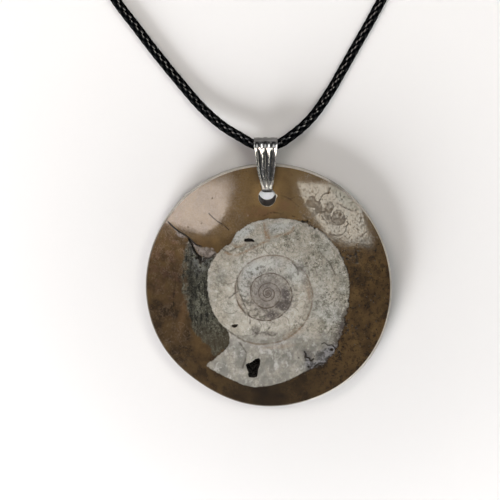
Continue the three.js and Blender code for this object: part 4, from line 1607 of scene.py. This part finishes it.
def barrel(shape, side):
    """A cast barrel with a hollow mouth and grip rings, lying along +X."""
    r, length = BARREL_RADIUS, BARREL_LENGTH
    profile = [(2.0, 0), (2.0, 1.07), (0.12, 1.07), (0, 1.16), (0, 1.36), (0.14, r), (0.4, r), (0.52, 1.36)]
    for k in range(2):
        profile += [(0.64 + 0.4 * k, r - 0.02), (0.84 + 0.4 * k, r - 0.02), (0.94 + 0.4 * k, 1.34)]
    profile += [(1.5, 1.28), (3.3, 1.28), (3.45, 1.42), (3.65, 1.42), (3.8, 1.2), (4.2, 0.86),
                (length - 0.12, 0.74), (length, 0.6), (length, 0)]
    place = (COIL_X + END_MOUTH_X, COIL_Y + side * END_Y, END_Z)
    revolve(shape, rounded(profile), 40, place)
    return Vector(place)


def make_eye():
    shape = Shape()
    place = barrel(shape, 1)
    centre = place + Vector((BARREL_LENGTH + EYE_RADIUS, 0, 0))
    rows, sides = 48, 16
    points = []
    for i in range(rows):
        angle = 2 * math.pi * i / rows
        for j in range(sides):
            round_wire = 2 * math.pi * j / sides
            r = EYE_RADIUS + EYE_WIRE * math.cos(round_wire)
            points.append(centre + Vector((r * math.cos(angle), r * math.sin(angle),
                                           EYE_WIRE * math.sin(round_wire))))
    shape.add(points, grid_faces(rows, sides, round_rows=True))
    return merged(shape.mesh("necklace_eye"))


def make_hook():
    shape = Shape()
    place = barrel(shape, -1)
    start, length, width = BARREL_LENGTH - 0.6, HOOK_LENGTH, HOOK_WIDTH
    outline = [
        (start, 0), (start + 1.2, 0), (start + length - 0.6, -0.15), (start + length, 0.5),
        (start + length, width - 0.8), (start + length - 0.8, width),
        (start + length - 2.2, width - 0.25), (start + length - 2.9, width + 0.1),
    ]
    line = centripetal([place + Vector((x, y, 0)) for x, y in outline], 0.16)
    sweep(shape, line, lambda way: HOOK_WIRE * min(1, 0.72 + 6 * (1 - way)) * (1 - 0.12 * way), 18)
    return merged(shape.mesh("necklace_hook"))


def make_tie():
    """A flat strip with a wire in it, passed round the turns, its ends twisted together on top."""
    inner_x, outer_x = 9.65, 14.35
    low, high, cut = 0.5, 4.78, 0.7
    thickness, width = 0.5, 2.4
    corners = [
        (inner_x + 0.4, low), (outer_x - 0.4, low), (outer_x, low + 0.4), (outer_x, high - cut),
        (outer_x - cut, high), (inner_x + cut, high), (inner_x, high - cut), (inner_x, low + 0.4),
    ]
    path = []
    for (xa, za), (xb, zb) in zip(corners, corners[1:] + corners[:1]):
        steps = max(2, round(math.hypot(xb - xa, zb - za) / 0.25))
        path += [(xa + (xb - xa) * k / steps, za + (zb - za) * k / steps) for k in range(steps)]
    section = []
    for k in range(17):  # outer side, with the ridge of the wire in its middle
        v = -1 + k / 8
        wire = math.exp(-((v / 0.22) ** 2))
        section.append((v * (width / 2 - 0.06), 0.72 * thickness + 0.26 * thickness * wire))
    section += [(width / 2, 0.45 * thickness), (width / 2 - 0.05, 0.1 * thickness)]
    section += [((8 - k) / 8 * (width / 2 - 0.15), 0.04 * thickness) for k in range(1, 16)]
    section += [(-width / 2 + 0.05, 0.1 * thickness), (-width / 2, 0.45 * thickness)]
    points = []
    count = len(path)
    for i, (x, z) in enumerate(path):
        before, after = path[i - 2], path[(i + 2) % count]
        along = Vector((after[0] - before[0], after[1] - before[1])).normalized()
        out_x, out_z = along.y, -along.x
        for v, u in section:
            points.append((COIL_X + x + out_x * u, COIL_Y + v, z + out_z * u))
    shape = Shape()
    shape.add(points, grid_faces(count, len(section), round_rows=True))
    centre = Vector((COIL_X + COIL_MIDDLE + 1.2, COIL_Y + 0.4, high + thickness + 0.42))
    turn = math.radians(18)
    half = Vector((math.cos(turn), math.sin(turn), 0)) * 3.2
    line = [centre + half * (-1 + k / 45) for k in range(91)]
    sweep(shape, line, lambda way: 0.55 * min(1, 0.35 + 12 * min(way, 1 - way)), 20, flat=0.5, turns=3.2)
    return merged(shape.mesh("coil_twist_tie"))


def tie_material():
    m = Material("matt black tie plastic")
    grain = m.noise(0.3, 90, 3)
    colour = m.mix(grain, (0.012, 0.012, 0.013), (0.03, 0.03, 0.032))
    normal = m.bump(grain, 0.03)
    return m.finish({"Base Color": colour, "Roughness": 0.42 + grain * 0.2, "Normal": normal})


# ---------------------------------------------------------------- stage


TARGET = (-3.6475, 7.4001, 4.6)
FLOOR_HALF = 3.0  # metres
# the floor is painted lighter away from the pendant, as painted shade near it
FLOOR_FAR_LIT = (0.975, 0.972, 0.985)  # colour of the floor away from the pendant
# Light panels above the pendant, by the corners that the polished face mirrors: (x, y) at a height of 1
PANEL_HEIGHT = 600
TOP_PANEL = (  # (x, y, how far the glow fades inwards)
    (-0.28, 0.6, 0.02), (0.28, 0.6, 0.02), (0.34, 2.2, 0.1), (-0.34, 2.2, 0.1),
)
OVERHEAD_PANEL = (
    (-0.15, -0.24, 0.1), (0.15, -0.24, 0.1), (0.15, 0.1, 0.1), (-0.15, 0.1, 0.1),
)
RIGHT_PANEL = (
    (0.182, 0.46, 0.004), (0.204, 0.377, 0.004), (0.231, 0.315, 0.004), (0.276, 0.237, 0.006),
    (0.341, 0.148, 0.01), (0.37, 0.115, 0.02), (0.43, 0.1, 0.02), (0.50, 0.075, 0.01), (0.59, 0.092, 0.008),
    (0.664, 0.055, 0.006), (0.644, 0.133, 0.004), (0.619, 0.217, 0.004), (0.606, 0.285, 0.004),
    (0.66, 0.32, 0.01), (0.78, 0.46, 0.01),
)
LEFT_PANEL = (
    (-0.80, 0.24, 0.01), (-0.554, 0.178, 0.03), (-0.452, 0.145, 0.03), (-0.359, 0.13, 0.03),
    (-0.295, 0.18, 0.02), (-0.237, 0.25, 0.015), (-0.20, 0.327, 0.05), (-0.165, 0.43, 0.12),
    (-0.20, 0.53, 0.15), (-0.40, 0.56, 0.14), (-0.80, 0.50, 0.05),
)


def make_camera(settings):
    data = bpy.data.cameras.new("camera")
    data.sensor_width = 36
    data.lens = settings.lens
    data.clip_end = 5
    camera = in_scene("camera", data)
    reach = Vector((0, math.sin(settings.tilt), math.cos(settings.tilt))) * settings.distance
    place = Matrix.Translation(Vector(TARGET) * MM + reach)
    camera.matrix_world = place @ Matrix.Rotation(-settings.tilt, 4, "X")
    bpy.context.scene.camera = camera


def make_floor(settings):
    mesh = bpy.data.meshes.new("floor")
    corners = [(x * FLOOR_HALF, y * FLOOR_HALF, 0) for x, y in ((-1, -1), (1, -1), (1, 1), (-1, 1))]
    mesh.from_pydata(corners, [], [(0, 1, 2, 3)])
    m = Material("pale card")
    # painted shade: the floor is darker near the pendant and lighter further away
    far = (m.x**2 + (m.y + 6) ** 2).math("SQRT").step(5, 85)
    colour = m.mix(far, tuple(0.86 * c for c in settings.floor), FLOOR_FAR_LIT)
    mesh.materials.append(m.finish({"Base Color": colour, "Roughness": 0.75}))
    floor = in_scene("floor", mesh)


def aimed(name, data, place, target):
    """A light at a place in millimetres, turned to a target."""
    light = in_scene(name, data)
    light.location = Vector(place) * MM
    light.rotation_euler = (Vector(target) - Vector(place)).to_track_quat("-Z", "Y").to_euler()
    return light


def area_light(name, place, size, power, mirrored=True):
    """A soft light turned to the pendant; shiny surfaces only show it if it is mirrored."""
    data = bpy.data.lights.new(name, "AREA")
    data.shape = "RECTANGLE"
    data.size, data.size_y = (value * MM for value in size)
    data.energy = power
    light = aimed(name, data, place, TARGET)
    light.visible_glossy = mirrored


def hole_light():
    """A narrow beam from beside the camera that lights the floor under the hole."""
    data = bpy.data.lights.new("hole light", "SPOT")
    data.spot_size = math.radians(1)
    data.spot_blend = 0.1
    data.energy = 2.2
    data.shadow_soft_size = 2 * MM
    target = Vector(HOLE_FRONT) + Vector((0, 0.25, -2.7))
    place = target + 225 * Vector((0, math.sin(math.radians(9)), math.cos(math.radians(9))))
    light = aimed("hole light", data, place, target)
    light.visible_glossy = False


def light_panel(name, corners, brightness, colour):
    """A glowing panel that only lights and mirrors, with corners given for a height of 1."""
    middle = sum((Vector(corner[:2]) for corner in corners), Vector((0, 0))) / len(corners)
    outer = [Vector(corner[:2]) for corner in corners]
    inner = [point + (middle - point).normalized() * corner[2] for point, corner in zip(outer, corners)]
    points = [(x * PANEL_HEIGHT * MM, y * PANEL_HEIGHT * MM, PANEL_HEIGHT * MM) for x, y in outer + inner]
    count = len(corners)
    faces = [tuple(range(count, 2 * count))]
    faces += [(i, (i + 1) % count, count + (i + 1) % count, count + i) for i in range(count)]
    mesh = bpy.data.meshes.new(name)
    mesh.from_pydata(points, [], faces)
    glow = mesh.attributes.new("glow", "FLOAT", "POINT")
    glow.data.foreach_set("value", [0.0] * count + [1.0] * count)
    m = Material(name)
    strength = m.attribute("glow") * brightness
    light = m.add("ShaderNodeEmission", inputs={"Color": colour, "Strength": strength})
    m.add("ShaderNodeOutputMaterial", inputs={"Surface": light})
    mesh.materials.append(m.material)
    panel = in_scene(name, mesh)
    panel.visible_camera = False


def make_lights():
    light_panel("right panel", RIGHT_PANEL, 6.2, (1.0, 0.96, 0.84))
    light_panel("left panel", LEFT_PANEL, 6.0, (1.0, 0.88, 0.8))
    light_panel("top panel", TOP_PANEL, 2.3, (1.0, 1.0, 1.0))
    light_panel("overhead panel", OVERHEAD_PANEL, 0.7, (1.0, 1.0, 1.0))
    area_light("key", (-236, -396, 192), (230, 280), 3.9, mirrored=False)
    area_light("low fill", (300, -330, 230), (220, 220), 0.2, mirrored=False)
    area_light("right glint", (342, 192, 300), (26, 26), 0.06)
    area_light("left glint", (-384, 141, 300), (26, 26), 0.06)
    hole_light()
    world = bpy.data.worlds.new("studio")
    bpy.context.scene.world = world
    world.use_nodes = True
    background = world.node_tree.nodes["Background"]
    background.inputs["Color"].default_value = (0.95, 0.97, 1.0, 1)
    background.inputs["Strength"].default_value = 0.06
    bpy.context.scene.view_settings.view_transform = "Standard"


# ---------------------------------------------------------------- operators


class PENDANT_OT_stage(bpy.types.Operator):
    """Makes the camera, the pale floor and the studio lights"""

    bl_idname = "pendant.stage"
    bl_label = "Stage"

    def execute(self, context):
        settings = context.scene.pendant.stage
        make_camera(settings)
        make_floor(settings)
        make_lights()
        return {"FINISHED"}


class PENDANT_OT_cord(bpy.types.Operator):
    """Makes the braided cord with its hook, its eye and the tie round its coil"""

    bl_idname = "pendant.cord"
    bl_label = "Cord and ends"

    def execute(self, context):
        settings = context.scene.pendant
        plate = metal_material("plated end pieces", settings.bail.metal, settings.bail.roughness + 0.05)
        eye = new_piece(make_eye(), plate, "silver_plate", "cord_end_eye")
        hook = new_piece(make_hook(), plate, "silver_plate", "cord_end_hook")
        tie = new_piece(make_tie(), tie_material(), "tie_plastic", "coil_tie")
        material = cord_material(settings.cord)
        mesh, line = make_cord(settings.cord, material)
        cord = new_piece(
            mesh, material, "waxed_cord", "cord", "cord_coil", "cord_tail_eye", "cord_tail_hook"
        )
        length = sum((b - a).length for a, b in zip(line, line[1:]))
        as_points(line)
        return {"FINISHED"}


class PENDANT_OT_stone(bpy.types.Operator):
    """Makes the domed disc of limestone with the polished shell"""

    bl_idname = "pendant.stone"
    bl_label = "Polished stone"

    def execute(self, context):
        settings = context.scene.pendant.stone
        new_piece(make_stone(settings), stone_material(settings), "fossil_stone", "fossil_disc")
        return {"FINISHED"}


class PENDANT_OT_bail(bpy.types.Operator):
    """Makes the fluted bail"""

    bl_idname = "pendant.bail"
    bl_label = "Bail"

    def execute(self, context):
        settings = context.scene.pendant.bail
        material = metal_material("bright plated bail", settings.metal, settings.roughness, worn=0.95)
        new_piece(make_bail(settings), material, "silver_plate", "bail")
        return {"FINISHED"}


class PENDANT_PT_panel(bpy.types.Panel):
    """Lists the pendant's pieces and their settings"""

    bl_idname = "PENDANT_PT_panel"
    bl_label = "Ammonite pendant"
    bl_space_type = "VIEW_3D"
    bl_region_type = "UI"
    bl_category = "Pendant"

    def draw(self, context):
        settings = context.scene.pendant
        groups = (settings.stage, settings.cord, settings.stone, settings.bail)
        for operator, group in zip(OPERATORS, groups):
            box = self.layout.box()
            box.operator(operator.bl_idname)
            for name in group.__annotations__:
                box.prop(group, name)


OPERATORS = (PENDANT_OT_stage, PENDANT_OT_cord, PENDANT_OT_stone, PENDANT_OT_bail)
CLASSES = (
    PENDANT_PG_stone, PENDANT_PG_bail, PENDANT_PG_cord, PENDANT_PG_stage, PENDANT_PG_all,
    *OPERATORS, PENDANT_PT_panel,
)


def register():
    for entry in CLASSES:
        bpy.utils.register_class(entry)
    bpy.types.Scene.pendant = bpy.props.PointerProperty(type=PENDANT_PG_all)


def unregister():
    del bpy.types.Scene.pendant
    for entry in reversed(CLASSES):
        bpy.utils.unregister_class(entry)


def main():
    register()
    bpy.ops.pendant.stage()
    bpy.ops.pendant.cord()
    bpy.ops.pendant.stone()
    bpy.ops.pendant.bail()
    bpy.context.view_layer.update()


if __name__ == "__main__":
    main()
